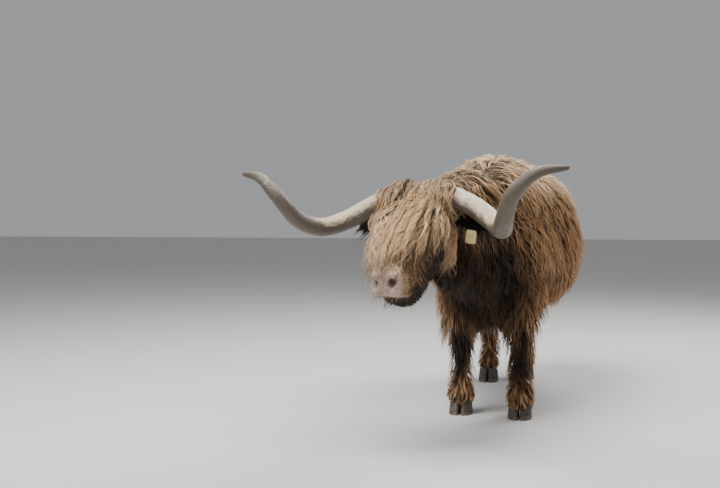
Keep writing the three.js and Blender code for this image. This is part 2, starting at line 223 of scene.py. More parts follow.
@dataclass(frozen=True)
class HeadPlace:
    """Where the head is. In its own axes -Y runs down the nose, +Z out of the forehead, and the
    horn roots lie on X. The poll's axes turn with the head but stay level.
    """

    yaw: float = math.radians(-16.5)
    pitch: float = math.radians(41.0)
    nose: float = 0.458
    eye: Triple = (0.094, -0.146, -0.06)
    mouth: float = -0.12

    def axes(self) -> Array:
        """Gives the matrix that turns the face's axes to the frame's."""
        return turn_about("Z", self.yaw) @ turn_about("X", self.pitch)

    def origin(self) -> Array:
        """Finds the midpoint between the horn roots, from where the eyes are."""
        between_eyes = (node_middle("eye_left") + node_middle("eye_right")) / 2
        _, y, z = self.eye
        return between_eyes - self.axes() @ np.array([0.0, y, z])

    def to_face(self, points: Array) -> Array:
        """Turns points in the frame to the face's axes."""
        return (points - self.origin()) @ self.axes()

    def from_face(self, points: Array) -> Array:
        """Turns points in the face's axes to the frame's."""
        return np.asarray(points, float) @ self.axes().T + self.origin()

    def from_poll(self, points: Array) -> Array:
        """Turns points in the poll's axes to the frame's."""
        return np.asarray(points, float) @ turn_about("Z", self.yaw).T + self.origin()

    def bar(self, rows: Sequence[Sequence[float]]) -> Array:
        """Turns a bar's rows of place and radius in the poll's axes to the frame's."""
        table = np.array(rows)
        return np.hstack([self.from_poll(table[:, :3]), table[:, 3:]])

    def axes_towards(self, way: Sequence[float]) -> Array:
        """Makes the matrix whose columns are level, up and a way in the face's axes."""
        ahead = unit(np.array(way) @ self.axes().T)
        level = unit(np.cross(UP, ahead))
        return np.stack([level, np.cross(ahead, level), ahead], axis=1)


HEAD = HeadPlace()
SIDES = {"left": 1, "right": -1}
HORN_THICKNESS = 0.084
HORN_PATH = (
    (0.06, -0.003, -0.018),
    (0.108, -0.006, -0.032),
    (0.21, 0.003, -0.074),
    (0.3, 0.045, -0.126),
    (0.368, 0.128, -0.153),
    (0.413, 0.222, -0.12),
    (0.461, 0.28, -0.04),
    (0.542, 0.276, 0.032),
    (0.647, 0.243, 0.052),
)
LEGS = ("fore_leg_left", "fore_leg_right", "hind_leg_left", "hind_leg_right")
FLESH = ("trunk", "neck", "udder", "tail", "head", "lower_jaw", "ear_left", "ear_right", *LEGS)


def foot_middle(leg: str) -> Array:
    """Finds the point on the floor between a leg's two claws.

    Args:
        leg: The leg's name.

    Returns:
        The point.
    """
    outer, inner = (node_middle(f"{leg}_{side}_claw") for side in ("outer", "inner"))
    middle = (outer + inner) / 2
    middle[2] = 0.0
    return middle


def udder_reach(points: Array) -> Array:
    """Measures how far out points are from the udder's middle: 1 on its box."""
    low, high = node_box("udder")
    return (np.abs(points - (low + high) / 2) / (high - low) * 2).max(-1)


@dataclass(frozen=True)
class BodyPlace:
    """Where the body is, read from the frame."""

    middle_x: float
    shoulder_y: float
    rump_y: float
    top_z: float
    belly_z: float

    @classmethod
    def read(cls) -> BodyPlace:
        """Reads the trunk's and the fore feet's places.

        Returns:
            The places.
        """
        low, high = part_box("trunk")
        feet = (foot_middle("fore_leg_left") + foot_middle("fore_leg_right")) / 2
        return cls(
            middle_x=float(feet[0]),
            shoulder_y=float(feet[1]),
            rump_y=high[1],
            top_z=high[2],
            belly_z=low[2],
        )


PLACE = BodyPlace.read()


# ---- Fields ----


@dataclass
class Field:
    """A value at each corner of a grid of cubes, read anywhere between them."""

    values: Array
    low: Array
    step: float

    def at(self, points: Array) -> Array:
        """Reads the field, by straight lines between the grid's corners.

        Args:
            points: Places in the frame.

        Returns:
            The field's value at each.
        """
        place = (points - self.low) / self.step
        place = np.clip(place, 0, np.array(self.values.shape) - 1.001)
        corner = place.astype(int)
        x, y, z = (place - corner).T
        i, j, k = corner.T
        total = np.zeros(len(points))
        for a, b, c in np.ndindex(2, 2, 2):
            share = (x if a else 1 - x) * (y if b else 1 - y) * (z if c else 1 - z)
            total += share * self.values[i + a, j + b, k + c]
        return total

    def outwards(self, points: Array) -> Array:
        """Finds the way in which the field grows fastest at points."""
        reach = 1.5 * self.step * np.eye(3)
        slopes = [self.at(points + way) - self.at(points - way) for way in reach]
        return unit(np.stack(slopes, axis=-1))

    def blurred(self, times: int) -> Array:
        """Averages each corner with its neighbours along each axis.

        Args:
            times: How many times over.

        Returns:
            The new values.
        """
        values = self.values
        for _ in range(times):
            for axis in range(3):
                ahead, behind = np.roll(values, 1, axis), np.roll(values, -1, axis)
                values = (values * 2 + ahead + behind) / 4
        return values

    def corners(self) -> Array:
        """Gives the place of each corner, as an array with a last axis of three."""
        axes = [low + self.step * np.arange(n) for low, n in zip(self.low, self.values.shape)]
        return np.stack(np.meshgrid(*axes, indexing="ij"), axis=-1)

    def surface(self) -> tuple[Array, Array]:
        """Makes the surface where the field is zero.

        Returns:
            The points, and the four-sided faces as rows of point numbers.
        """
        grid = vdb.FloatGrid()
        grid.transform = vdb.createLinearTransform(self.step)
        first = tuple(int(round(n)) for n in self.low / self.step)
        grid.copyFromArray(self.values.astype(np.float32), ijk=first)
        points, quads = grid.convertToQuads(isovalue=0.0)
        return points.astype(float), quads.astype(np.int64)

    @classmethod
    def around(cls, points: Array, triangles: Array, step: float, band: int) -> Field:
        """Measures the distance from closed meshes, negative inside.

        Args:
            points: The meshes' points.
            triangles: Their triangles.
            step: The grid's step.
            band: How many steps from the surface are measured.

        Returns:
            The field of distances.
        """
        grid = vdb.FloatGrid.createLevelSetFromPolygons(
            points.astype(np.float32),
            triangles=triangles.astype(np.uint32),
            transform=vdb.createLinearTransform(step),
            halfWidth=float(band),
        )
        first = np.floor(points.min(0) / step).astype(int) - band
        last = np.ceil(points.max(0) / step).astype(int) + band
        values = np.empty(tuple(last - first), np.float32)
        grid.copyToArray(values, ijk=tuple(int(n) for n in first))
        return cls(values, first * step, step)


def distance_from_path(points: Array, path: Array) -> Array:
    """Measures the distance from a bar along a path, negative inside.

    Args:
        points: Places, along the last axis.
        path: Rows of a place and the bar's radius there.

    Returns:
        The distances.
    """
    nearest = np.full(points.shape[:-1], np.inf)
    for first, last in zip(path, path[1:]):
        along = last[:3] - first[:3]
        share = np.clip((points - first[:3]) @ along / (along @ along), 0, 1)
        away = np.linalg.norm(points - first[:3] - share[..., None] * along, axis=-1)
        nearest = np.minimum(nearest, away - mixed(first[3], last[3], share))
    return nearest


def joined(a: Array, b: Array, blend: float) -> Array:
    """Joins two distances into one, with a soft hollow where they meet."""
    near = np.maximum(blend - np.abs(a - b), 0.0)
    return np.minimum(a, b) - near**2 / (4 * blend)


def triangles_of(quads: Array) -> Array:
    """Splits four-sided faces into triangles."""
    return np.vstack([quads[:, [0, 1, 2]], quads[:, [0, 2, 3]]])


def largest_shell(points: Array, quads: Array) -> tuple[Array, Array]:
    """Keeps only the largest connected surface.

    Args:
        points: The points.
        quads: The faces.

    Returns:
        The points and faces of that surface.
    """
    shell = np.arange(len(points))
    while True:
        lowest = shell[quads].min(axis=1)
        spread = shell.copy()
        for side in range(4):
            np.minimum.at(spread, quads[:, side], lowest)
        spread = spread[spread]
        if np.array_equal(spread, shell):
            break
        shell = spread
    names, counts = np.unique(shell, return_counts=True)
    kept = shell == names[np.argmax(counts)]
    number = np.cumsum(kept) - 1
    return points[kept], number[quads[kept[quads[:, 0]]]]


# ---- Paths and tubes ----


def smooth_path(stations: Sequence[Sequence[float]], count: int) -> Array:
    """Runs a smooth curve through stations, whose rows may hold sizes after their places.

    Args:
        stations: The rows, with the place's three numbers first.
        count: How many rows are wanted.

    Returns:
        Rows evenly spread over the curve.
    """
    rows = np.array(stations, float)
    gaps = np.linalg.norm(np.diff(rows[:, :3], axis=0), axis=1) ** 0.5
    knots = np.concatenate([[0], np.cumsum(gaps)])
    rows = np.vstack([2 * rows[0] - rows[1], rows, 2 * rows[-1] - rows[-2]])
    knots = np.concatenate([[-gaps[0]], knots, [knots[-1] + gaps[-1]]])
    fine = []
    for t in np.linspace(knots[1], knots[-2] - 1e-9, 12 * count):
        i = min(max(int(np.searchsorted(knots, t, side="right")) - 1, 1), len(rows) - 3)
        knot, level = knots[i - 1 : i + 3], rows[i - 1 : i + 3]
        for spans in (((0, 1), (1, 2), (2, 3)), ((0, 2), (1, 3)), ((1, 2),)):
            shares = [(t - knot[a]) / (knot[b] - knot[a]) for a, b in spans]
            level = [mixed(level[n], level[n + 1], share) for n, share in enumerate(shares)]
        fine.append(level[0])
    fine = np.array(fine)
    steps = np.linalg.norm(np.diff(fine[:, :3], axis=0), axis=1)
    reach = np.concatenate([[0], np.cumsum(steps)])
    wanted = np.linspace(0, reach[-1], count)
    return np.stack([np.interp(wanted, reach, column) for column in fine.T], axis=1)


def tube_mesh(name: str, rings: Array, start: Array, end: Array) -> Mesh:
    """Skins a row of rings and closes both ends.

    Args:
        name: The mesh's name.
        rings: Ring by ring, the places round it, counter-clockwise about the way ahead.
        start: The point that closes the first ring.
        end: The point that closes the last ring.

    Returns:
        The mesh. Its last two points are the ends.
    """
    count, around, _ = rings.shape
    points = np.vstack([rings.reshape(-1, 3), start, end])
    last = (count - 1) * around
    sides = [(place, (place + 1) % around) for place in range(around)]
    firsts = range(0, last, around)
    faces = [(a + p, a + q, a + around + q, a + around + p) for a in firsts for p, q in sides]
    for p, q in sides:
        faces += [(len(points) - 2, q, p), (len(points) - 1, last + p, last + q)]
    mesh = bpy.data.meshes.new(name)
    mesh.from_pydata(points, [], faces)
    return mesh


def recalculate(mesh: Mesh) -> None:
    """Points a closed mesh's faces outwards."""
    with edited(mesh) as work:
        bmesh.ops.recalc_face_normals(work, faces=work.faces)


# ---- Skin ----


def leg_share(points: Array, leg: str, reach: float = 0.15) -> Array:
    """Says how far points belong to a leg below the body.

    Args:
        points: The points.
        leg: The leg's node.
        reach: How far from the leg's middle the share has fallen to nothing.

    Returns:
        Shares from 0 to 1.
    """
    foot = foot_middle(leg)
    low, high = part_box(leg)
    upper_x = foot[0] + math.copysign(0.055 if "hind" in leg else 0.02, foot[0] - PLACE.middle_x)
    rise = ease(0.2, 0.6, points[..., 2])
    middle_x = mixed(foot[0], upper_x, rise)
    middle_y = mixed(foot[1] + 0.02, (low[1] + high[1]) / 2 + 0.01, rise)
    away = np.hypot(points[..., 0] - middle_x, points[..., 1] - middle_y)
    return ease(reach, 0.6 * reach, away) * ease(0.64, 0.5, points[..., 2])


@dataclass(frozen=True)
class Oval:
    """A tilted oval on the front of the muzzle: its middle, half sizes and tilt."""

    middle: tuple[float, float]
    half: tuple[float, float]
    tilt: float

    def reach(self, across: Array, up: Array) -> Array:
        """Measures how far out places are: 1 on the oval's edge."""
        u, v = across - self.middle[0], up - self.middle[1]
        cos, sin = math.cos(self.tilt), math.sin(self.tilt)
        return np.hypot((u * cos + v * sin) / self.half[0], (v * cos - u * sin) / self.half[1])


@dataclass(frozen=True)
class Face:
    """The folds worked into the skin of the head: nostrils, lips and eyelids."""

    nostril: Oval = Oval((0.0365, -0.058), (0.02, 0.0145), 0.62)
    nostril_tail: Oval = Oval((0.053, -0.046), (0.014, 0.005), 0.95)
    nostril_depth: float = 0.021
    nose_turn: float = -0.009
    lip_depth: float = 0.006
    eye_radius: float = 0.02
    lid_thickness: float = 0.0032
    opening: tuple[float, float] = (math.radians(54), math.radians(25))

    def near_muzzle(self, points: Array) -> Array:
        """Says which places are fine enough to need the muzzle's detail."""
        return HEAD.to_face(points)[:, 1] < -HEAD.nose + 0.165

    def eye_distance(self, points: Array) -> Array:
        """Measures how far places are from the nearer eye's middle."""
        away = [np.linalg.norm(points - self.eye_middle(side), axis=1) for side in SIDES]
        return np.min(away, axis=0)

    @staticmethod
    def eye_middle(side: str) -> Array:
        """Finds an eye's middle."""
        return node_middle(f"eye_{side}")

    @staticmethod
    def gaze(side: str) -> Array:
        """Gives an eye's axes as columns: level, up and out of the head."""
        return HEAD.axes_towards([SIDES[side] * 0.86, -0.38, 0.34])

    def lip_height(self, points: Array) -> Array:
        """Measures how far above the line of the mouth places are.

        Args:
            points: Places in the face's axes.

        Returns:
            The heights, negative below it.
        """
        _, y, z = points.T
        back = y + HEAD.nose
        places = (-0.04, -0.02, 0.0, 0.024, 0.05, 0.09, 0.15)
        line = np.interp(back, places, (0.026, 0.011, -0.007, -0.03, -0.04, -0.036, -0.02))
        return z - HEAD.mouth - line

    def mouth_share(self, points: Array) -> Array:
        """Says how near face places are to the closed mouth's line."""
        line = np.exp(-((self.lip_height(points) / 0.0042) ** 2))
        return line * ease(0.145, 0.115, points[:, 1] + HEAD.nose)

    def nostril_share(self, points: Array) -> Array:
        """Says how far places are inside a nostril.

        Args:
            points: Places in the face's axes.

        Returns:
            Shares from 0 to 1.
        """
        x, y, z = points.T
        x = x - self.nose_turn
        front = ease(0.055, 0.04, y + HEAD.nose)
        oval = ease(1.15, 0.5, self.nostril.reach(np.abs(x), z))
        tail = 0.45 * ease(1.3, 0.3, self.nostril_tail.reach(np.abs(x), z))
        return np.maximum(oval, tail) * front

    def shaped(self, points: Array, normals: Array) -> Array:
        """Moves the skin's points into the folds.

        Args:
            points: The points, in the frame.
            normals: Their outward ways.

        Returns:
            The moved points.
        """
        points = self.muzzle_shaped(points, normals)
        for side in SIDES:
            points = self.lids_shaped(points, side)
        return points

    def muzzle_shaped(self, points: Array, normals: Array) -> Array:
        """Sinks the nostrils and the mouth, and raises their rims and the lips.

        Args:
            points: The points, in the frame.
            normals: Their outward ways.

        Returns:
            The moved points.
        """
        face = HEAD.to_face(points)
        x, y, z = face.T
        back = y + HEAD.nose
        near = ease(0.16, 0.13, back)
        front = ease(0.06, 0.035, back)
        inward = HEAD.axes() @ np.array([0.0, 1.0, 0.0])
        moved = points + (self.nostril_depth * self.nostril_share(face))[:, None] * inward
        x = x - self.nose_turn
        reach = self.nostril.reach(np.abs(x), z)
        rim = 0.0034 * np.exp(-(((reach - 1.5) / 0.33) ** 2)) * front
        height = self.lip_height(face)
        lips = 0.0026 * np.exp(-(((height - 0.013) / 0.008) ** 2))
        lips = lips - 0.003 * ease(0.0, -0.008, height) * ease(0.05, 0.02, back)
        lips = lips * ease(0.13, 0.08, back) - self.lip_depth * self.mouth_share(face)
        split = -0.0024 * np.exp(-((x / 0.0035) ** 2)) * front * ease(-0.118, -0.1, z)
        split = split * ease(-0.07, -0.085, z)
        return moved + ((rim + lips + split) * near)[:, None] * normals

    def lid_reach(self, points: Array, side: str) -> Array:
        """Measures how far places are from an eye's axis.

        Args:
            points: Places in the frame.
            side: Which eye.

        Returns:
            The reach, which is 1 on the edges of the lids.
        """
        across = (points - self.eye_middle(side)) @ self.gaze(side)
        level = np.arctan2(across[:, 0], across[:, 2])
        away = np.maximum(np.linalg.norm(across, axis=1), 1e-6)
        up = np.arcsin(np.clip(across[:, 1] / away, -1, 1))
        upper = np.where(up > 0, self.opening[1] * 1.12, self.opening[1] * 0.85)
        return np.where(across[:, 2] > 0, np.hypot(level / self.opening[0], up / upper), 9.0)

    def lids_reach(self, points: Array) -> Array:
        """Measures how far places are from the nearer eye's axis: 1 on the edges of its lids."""
        return np.min([self.lid_reach(points, side) for side in SIDES], axis=0)

    def lids_shaped(self, points: Array, side: str) -> Array:
        """Draws the skin over an eyeball as two lids with a crease round them.

        Args:
            points: The points, in the frame.
            side: Which eye.

        Returns:
            The moved points.
        """
        reach = self.lid_reach(points, side)
        offset = points - self.eye_middle(side)
        away = np.linalg.norm(offset, axis=1)
        lid = self.eye_radius + self.lid_thickness
        lid = lid - 0.0022 * np.exp(-(((reach - 1.62) / 0.12) ** 2))
        wanted = mixed(0.8 * self.eye_radius, lid, ease(0.9, 1.04, reach))
        hold = ease(2.5, 1.5, reach) * ease(0.055, 0.04, away)
        scale = mixed(away, wanted, hold) / np.maximum(away, 1e-6)
        return self.eye_middle(side) + offset * scale[:, None]


@dataclass(frozen=True)
class Ear:
    """The leaf of an ear, cupped towards the front. Stations are out, forward and up from the
    poll, with the half width and the depth of the cup.
    """

    side: str
    stations: tuple[tuple[float, ...], ...] = (
        (0.07, -0.03, -0.088, 0.02, 0.004),
        (0.105, -0.036, -0.096, 0.028, 0.014),
        (0.15, -0.04, -0.108, 0.041, 0.022),
        (0.2, -0.038, -0.122, 0.043, 0.02),
        (0.245, -0.03, -0.138, 0.03, 0.012),
        (0.276, -0.024, -0.152, 0.008, 0.003),
    )
    thickness: float = 0.0085
    lean: float = math.radians(24)

    def mesh(self) -> Mesh:
        """Makes the ear's leaf as a closed shell, turned to stand under the horn.

        Returns:
            The leaf.
        """
        sign = SIDES[self.side]
        rows = smooth_path([(sign * row[0], -row[1], *row[2:]) for row in self.stations], 44)
        path, half, cup = rows[:, :3], rows[:, 3], rows[:, 4]
        ahead = unit(np.gradient(path, axis=0))
        level = unit(np.cross(ahead, UP) * sign)
        above = np.cross(level, ahead) * sign
        above = above * np.sign(above[:, 2:])
        front = level * np.where(level[:, 1:2] < 0, 1, -1)
        above, front = (
            above * math.cos(self.lean) - front * math.sin(self.lean),
            front * math.cos(self.lean) + above * math.sin(self.lean),
        )
        span = np.sin(np.linspace(-math.pi / 2, math.pi / 2, 17))
        middle = path[:, None] + above[:, None] * (half[:, None] * span)[..., None]
        sag = cup[:, None] * (1 - span**2) - 0.3 * cup[:, None]
        middle = middle - front[:, None] * sag[..., None]
        thick = self.thickness / 2 * np.sqrt(np.maximum(1 - span**2, 0.02))
        taper = ease(0, 0.012, half)[:, None]
        offset = front[:, None] * (thick * taper)[..., None]
        rings = np.concatenate([(middle + offset), (middle - offset)[:, ::-1]], axis=1)
        mesh = tube_mesh(f"ear_{self.side}", HEAD.from_poll(rings), *HEAD.from_poll(path[[0, -1]]))
        recalculate(mesh)
        return mesh


@dataclass
class Skin:
    """One skin over the whole body. It lies inside the frame's nodes by the coat's depth."""

    step: float = 0.0097
    fuse_step: float = 0.006
    swelling: float = 0.002
    back_depth: float = 0.032
    flank_depth: float = 0.052
    shin_depth: float = 0.019
    distance: Field = field(init=False)
    trunk: Field = field(init=False)
    piece: Object = field(init=False)

    def depth(self, points: Array) -> Array:
        """Gives the depth of the coat at points.

        Args:
            points: Places in the frame.

        Returns:
            The depth from the tips of the coat to the skin.
        """
        z = points[..., 2]
        depth = mixed(self.back_depth, self.flank_depth, ease(0.98, 0.8, z))
        for leg in LEGS:
            on_leg = mixed(self.shin_depth, 0.042, ease(0.3, 0.56, z))
            on_leg = mixed(on_leg, 0.01, ease(0.15, 0.09, z))
            depth = mixed(depth, on_leg, leg_share(points, leg))
        depth = mixed(depth, 0.004, ease(1.5, 1.05, udder_reach(points)))
        face = HEAD.to_face(points)
        x, y, z = np.moveaxis(face, -1, 0)
        on_head = mixed(0.01, 0.03, ease(-0.14, -0.26, z) * ease(-0.36, -0.22, y))
        on_head = mixed(on_head, 0.001, ease(-0.34, -0.41, y))
        near = ease(0.3, 0.22, np.abs(x)) * ease(0.06, -0.03, y)
        near = near * ease(-0.5, -0.38, z)
        return mixed(depth, on_head, near)

    def fused(self) -> tuple[Array, Array]:
        """Joins the flesh of the frame's nodes into one closed surface.

        Returns:
            Its points and triangles.
        """
        parts = [name for name in FLESH if not name.startswith(("ear", "tail"))]
        points, triangles = [], []
        count = 0
        for name in [*parts, "eye_left", "eye_right"]:
            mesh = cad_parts[name].data
            points.append(mesh_points(mesh))
            triangles.append(mesh_triangles(mesh) + count)
            count += len(points[-1])
        whole = Field.around(np.vstack(points), np.vstack(triangles), self.fuse_step, 4)
        whole.values = whole.values - self.swelling
        shell, quads = largest_shell(*whole.surface())
        return shell, triangles_of(quads)

    def tail_core(self, points: Array) -> Array:
        """Measures the distance from the dock of the tail.

        Args:
            points: Places in the frame.

        Returns:
            The distances, negative inside.
        """
        low, high = node_box("tail")
        x = node_middle("tail")[0]
        back = node_middle("tail_switch")[1]
        path = [
            (x, PLACE.rump_y - 0.2, high[2] - 0.062, 0.03),
            (x, PLACE.rump_y - 0.08, high[2] - 0.052, 0.026),
            (x, PLACE.rump_y + 0.004, high[2] - 0.078, 0.022),
            (x + 0.002, back - 0.008, high[2] - 0.15, 0.019),
            (x + 0.004, back, 0.8, 0.017),
            (x + 0.006, back, low[2] - 0.1, 0.013),
        ]
        return distance_from_path(points, np.array(path))

    def horn_roots(self, points: Array) -> Array:
        """Measures the distance from the crest of the poll and the skin over the horns' roots.

        Args:
            points: Places in the frame.

        Returns:
            The distances, negative inside.
        """
        end = (0.006, -0.03, 0.034)
        crest = HEAD.bar([(-0.085, *end), (0.0, 0.01, -0.022, 0.03), (0.085, *end)])
        nearest = distance_from_path(points, crest)
        for sign in SIDES.values():
            root = [(sign * 0.05, 0.003, -0.024, 0.042), (sign * 0.098, 0.003, -0.03, 0.045)]
            nearest = joined(nearest, distance_from_path(points, HEAD.bar(root)), 0.012)
        return nearest

    def build(self) -> None:
        """Makes the skin's surface and its field of distances."""
        body = Field.around(*self.fused(), self.step, 13)
        corners = body.corners()
        body.values = body.values + self.depth(corners) + self.swelling
        face = HEAD.to_face(corners)
        on_face = ease(0.08, -0.05, face[..., 1]) * ease(0.3, 0.2, abs(face[..., 0]))
        body.values = mixed(body.blurred(5), body.blurred(1), on_face)
        body.values = joined(body.values, self.horn_roots(corners), 0.03)
        self.trunk = Field(body.values, body.low, body.step)
        body.values = joined(body.values, self.tail_core(corners), 0.03)
        self.distance = body
        points, quads = largest_shell(*body.surface())
        mesh = bpy.data.meshes.new("skin")
        mesh.from_pydata(points, [], quads[:, ::-1].tolist())
        self.face_outwards(mesh)
        self.refine(mesh)
        with edited(mesh) as work:
            for number, side in enumerate(SIDES, start=1):
                leaf = Ear(side).mesh()
                add_values(leaf, "part", np.full(len(leaf.vertices), float(number)))
                work.from_mesh(leaf)
                bpy.data.meshes.remove(leaf)
        self.piece = new_object("skin", mesh)

    @staticmethod
    def face_outwards(mesh: Mesh) -> None:
        """Turns the faces round if they point into the body.

        Args:
            mesh: The skin.
        """
        points, triangles = mesh_points(mesh), mesh_triangles(mesh)
        a, b, c = (points[triangles[:, i]] for i in range(3))
        if np.sum(np.cross(a, b) * c) < 0:
            mesh.flip_normals()

    @staticmethod
    def refine(mesh: Mesh) -> None:
        """Makes the muzzle and the places round the eyes fine, and works the face's folds in.

        Args:
            mesh: The skin.
        """
        face = Face()
        axes = {f"use_axis_{axis}": True for axis in "xyz"}
        with edited(mesh) as work:
            for reach in (0.058, 0.042):
                middles = np.array([f.calc_center_median() for f in work.faces])
                chosen = face.near_muzzle(middles) | (face.eye_distance(middles) < reach)
                faces = [f for f, wanted in zip(work.faces, chosen) if wanted]
                edges = list({edge for f in faces for edge in f.edges})
                bmesh.ops.subdivide_edges(work, edges=edges, cuts=1, use_grid_fill=True)
                near = np.array([v.co for v in work.verts])
                soft = face.near_muzzle(near) | (face.eye_distance(near) < reach)
                verts = [v for v, wanted in zip(work.verts, soft) if wanted]
                for _ in range(3):
                    bmesh.ops.smooth_vert(work, verts=verts, factor=0.5, **axes)
            work.normal_update()
        mesh.attributes.new("part", "FLOAT", "POINT")
        normals = read_rows(mesh.vertex_normals, "vector")
        set_mesh_points(mesh, face.shaped(mesh_points(mesh), normals))

    def unwrapped(self) -> None:
        """Unwraps the skin into the bake map."""
        mesh = self.piece.data
        mesh.uv_layers.new(name=BAKE_MAP)
        bpy.context.view_layer.objects.active = self.piece
        self.piece.select_set(True)
        bpy.ops.object.mode_set(mode="EDIT")
        bpy.ops.mesh.select_all(action="SELECT")
        bpy.ops.uv.smart_project(angle_limit=math.radians(66), island_margin=0.002)
        bpy.ops.object.mode_set(mode="OBJECT")
        self.piece.select_set(False)

    def dress(self, material: Material) -> None:
        """Unwraps the skin, marks its bare and hollow places, and dresses it.

        Args:
            material: The skin's material.
        """
        self.unwrapped()
        points = mesh_points(self.piece.data)
        face = Face()
        place = HEAD.to_face(points)
        x, y, _ = place.T
        back = y + HEAD.nose
        lip = face.lip_height(place)
        pad = ease(0.03, 0.014, back) * ease(0.066, 0.052, np.abs(x))
        pad = np.maximum(pad, ease(0.016, 0.006, lip) * ease(0.05, 0.032, back))
        bare = pad * ease(-0.006, 0.001, lip)
        rims = ease(1.45, 1.15, face.lids_reach(points)) * (face.eye_distance(points) < 0.04)
        bare = np.max([bare, rims, ease(1.15, 0.95, udder_reach(points))], axis=0)
        # Painted shade: the nostrils, the mouth's line and the eyelids' rims are marked for darkening.
        hollow = [face.nostril_share(place), 0.8 * face.mouth_share(place), 0.75 * rims]
        add_values(self.piece.data, "bare", bare)
        add_values(self.piece.data, "hollow", np.max(hollow, axis=0))
        add_values(self.piece.data, "short", ease(-0.3, -0.38, y))
        finish_piece(self.piece, material, "skin", *FLESH)


# ---- Tufts ----


def ripple(points: Array, wavelength: float, seed: int, waves: int = 7) -> Array:
    """Gives smooth random vectors, about -1 to 1, that change over a wavelength.

    Args:
        points: Places.
        wavelength: How far it is between crests.
        seed: Which pattern.
        waves: How many plane waves are added.

    Returns:
        A vector for each point.
    """
    chance = np.random.default_rng(seed)
    ways = unit(chance.normal(size=(3, waves, 3)))
    ways = ways * chance.uniform(0.6, 1.5, (3, waves, 1)) * 2 * math.pi / wavelength
    phases = chance.uniform(0, 2 * math.pi, (3, waves))
    total = np.sin(np.einsum("...i,awi->...aw", points, ways) + phases).sum(-1)
    return total * math.sqrt(1.2 / waves)


@dataclass
class Roots:
    """Where tufts grow from: places, outward ways and places on the skin's unwrap."""

    points: Array
    normals: Array
    unwrap: Array

    def some(self, chosen: Array) -> Roots:
        """Keeps the chosen roots."""
        return Roots(self.points[chosen], self.normals[chosen], self.unwrap[chosen])


@dataclass
class Ground:
    """The skin as something to root tufts in."""

    corners: Array
    normals: Array
    unwrap: Array
    areas: Array
    middles: Array
    facing: Array
    part: Array

    @classmethod
    def of(cls, mesh: Mesh) -> Ground:
        """Reads a mesh that has the bake map.

        Args:
            mesh: The skin's mesh.

        Returns:
            Its triangles, with their corners' normals and places on the unwrap.
        """
        points, triangles = mesh_points(mesh), mesh_triangles(mesh)
        loops = read_rows(mesh.loop_triangles, "loops", kind=int)
        unwrap = read_rows(mesh.uv_layers[BAKE_MAP].data, "uv", 2)[loops]
        normals = read_rows(mesh.vertex_normals, "vector")[triangles]
        corners = points[triangles]
        cross = np.cross(corners[:, 1] - corners[:, 0], corners[:, 2] - corners[:, 0])
        areas = np.linalg.norm(cross, axis=1) / 2
        part = read_rows(mesh.attributes["part"].data, "value", 1)[triangles[:, 0], 0]
        part = np.round(part).astype(int)
        return cls(corners, normals, unwrap, areas, corners.mean(1), unit(cross), part)

    def scatter(self, count: int, thickness: Array, seed: int) -> Roots:
        """Chooses random roots.

        Args:
            count: How many.
            thickness: How thickly they stand on each triangle.
            seed: Which choice.

        Returns:
            The roots.
        """
        chance = np.random.default_rng(seed)
        odds = self.areas * thickness
        picked = chance.choice(len(odds), count, p=odds / odds.sum())
        u, v = chance.uniform(0, 1, (2, count, 1))
        over = u + v > 1
        u, v = np.where(over, 1 - u, u), np.where(over, 1 - v, v)
        shares = np.stack([1 - u - v, u, v], axis=1)
        points = (self.corners[picked] * shares).sum(1)
        normals = unit((self.normals[picked] * shares).sum(1))
        return Roots(points, normals, (self.unwrap[picked] * shares).sum(1))


@dataclass(frozen=True)
class Growth:
    """How tufts of one kind grow, in metres."""

    rings: int = 7
    width: float = 0.0054
    flat: float = 0.42
    lock_gap: float = 0.024
    clump: float = 0.88
    wavelength: float = 0.09
    wave: float = 0.0075
    stray: float = 0.1
    tones: float = 0.28
    gather: float = 0.4
    # shade: how strongly a tuft is painted lighter the further out in the coat it lies, and darker the
    # deeper, as painted light and shade.
    shade: float = 0.9
    hang: float = 0.0
    gravity: float = 0.5
    ruffle: float = 0.3
    lift: float = 0.9
    rise: float = 0.55
    hold_off: float = 0.8
    clearance: float = 0.003
    layers: tuple[float, float] = (0.19, 1.0)
    crowding: float = 0.65
    looseness: float = 0.12
    tone: float = 0.52


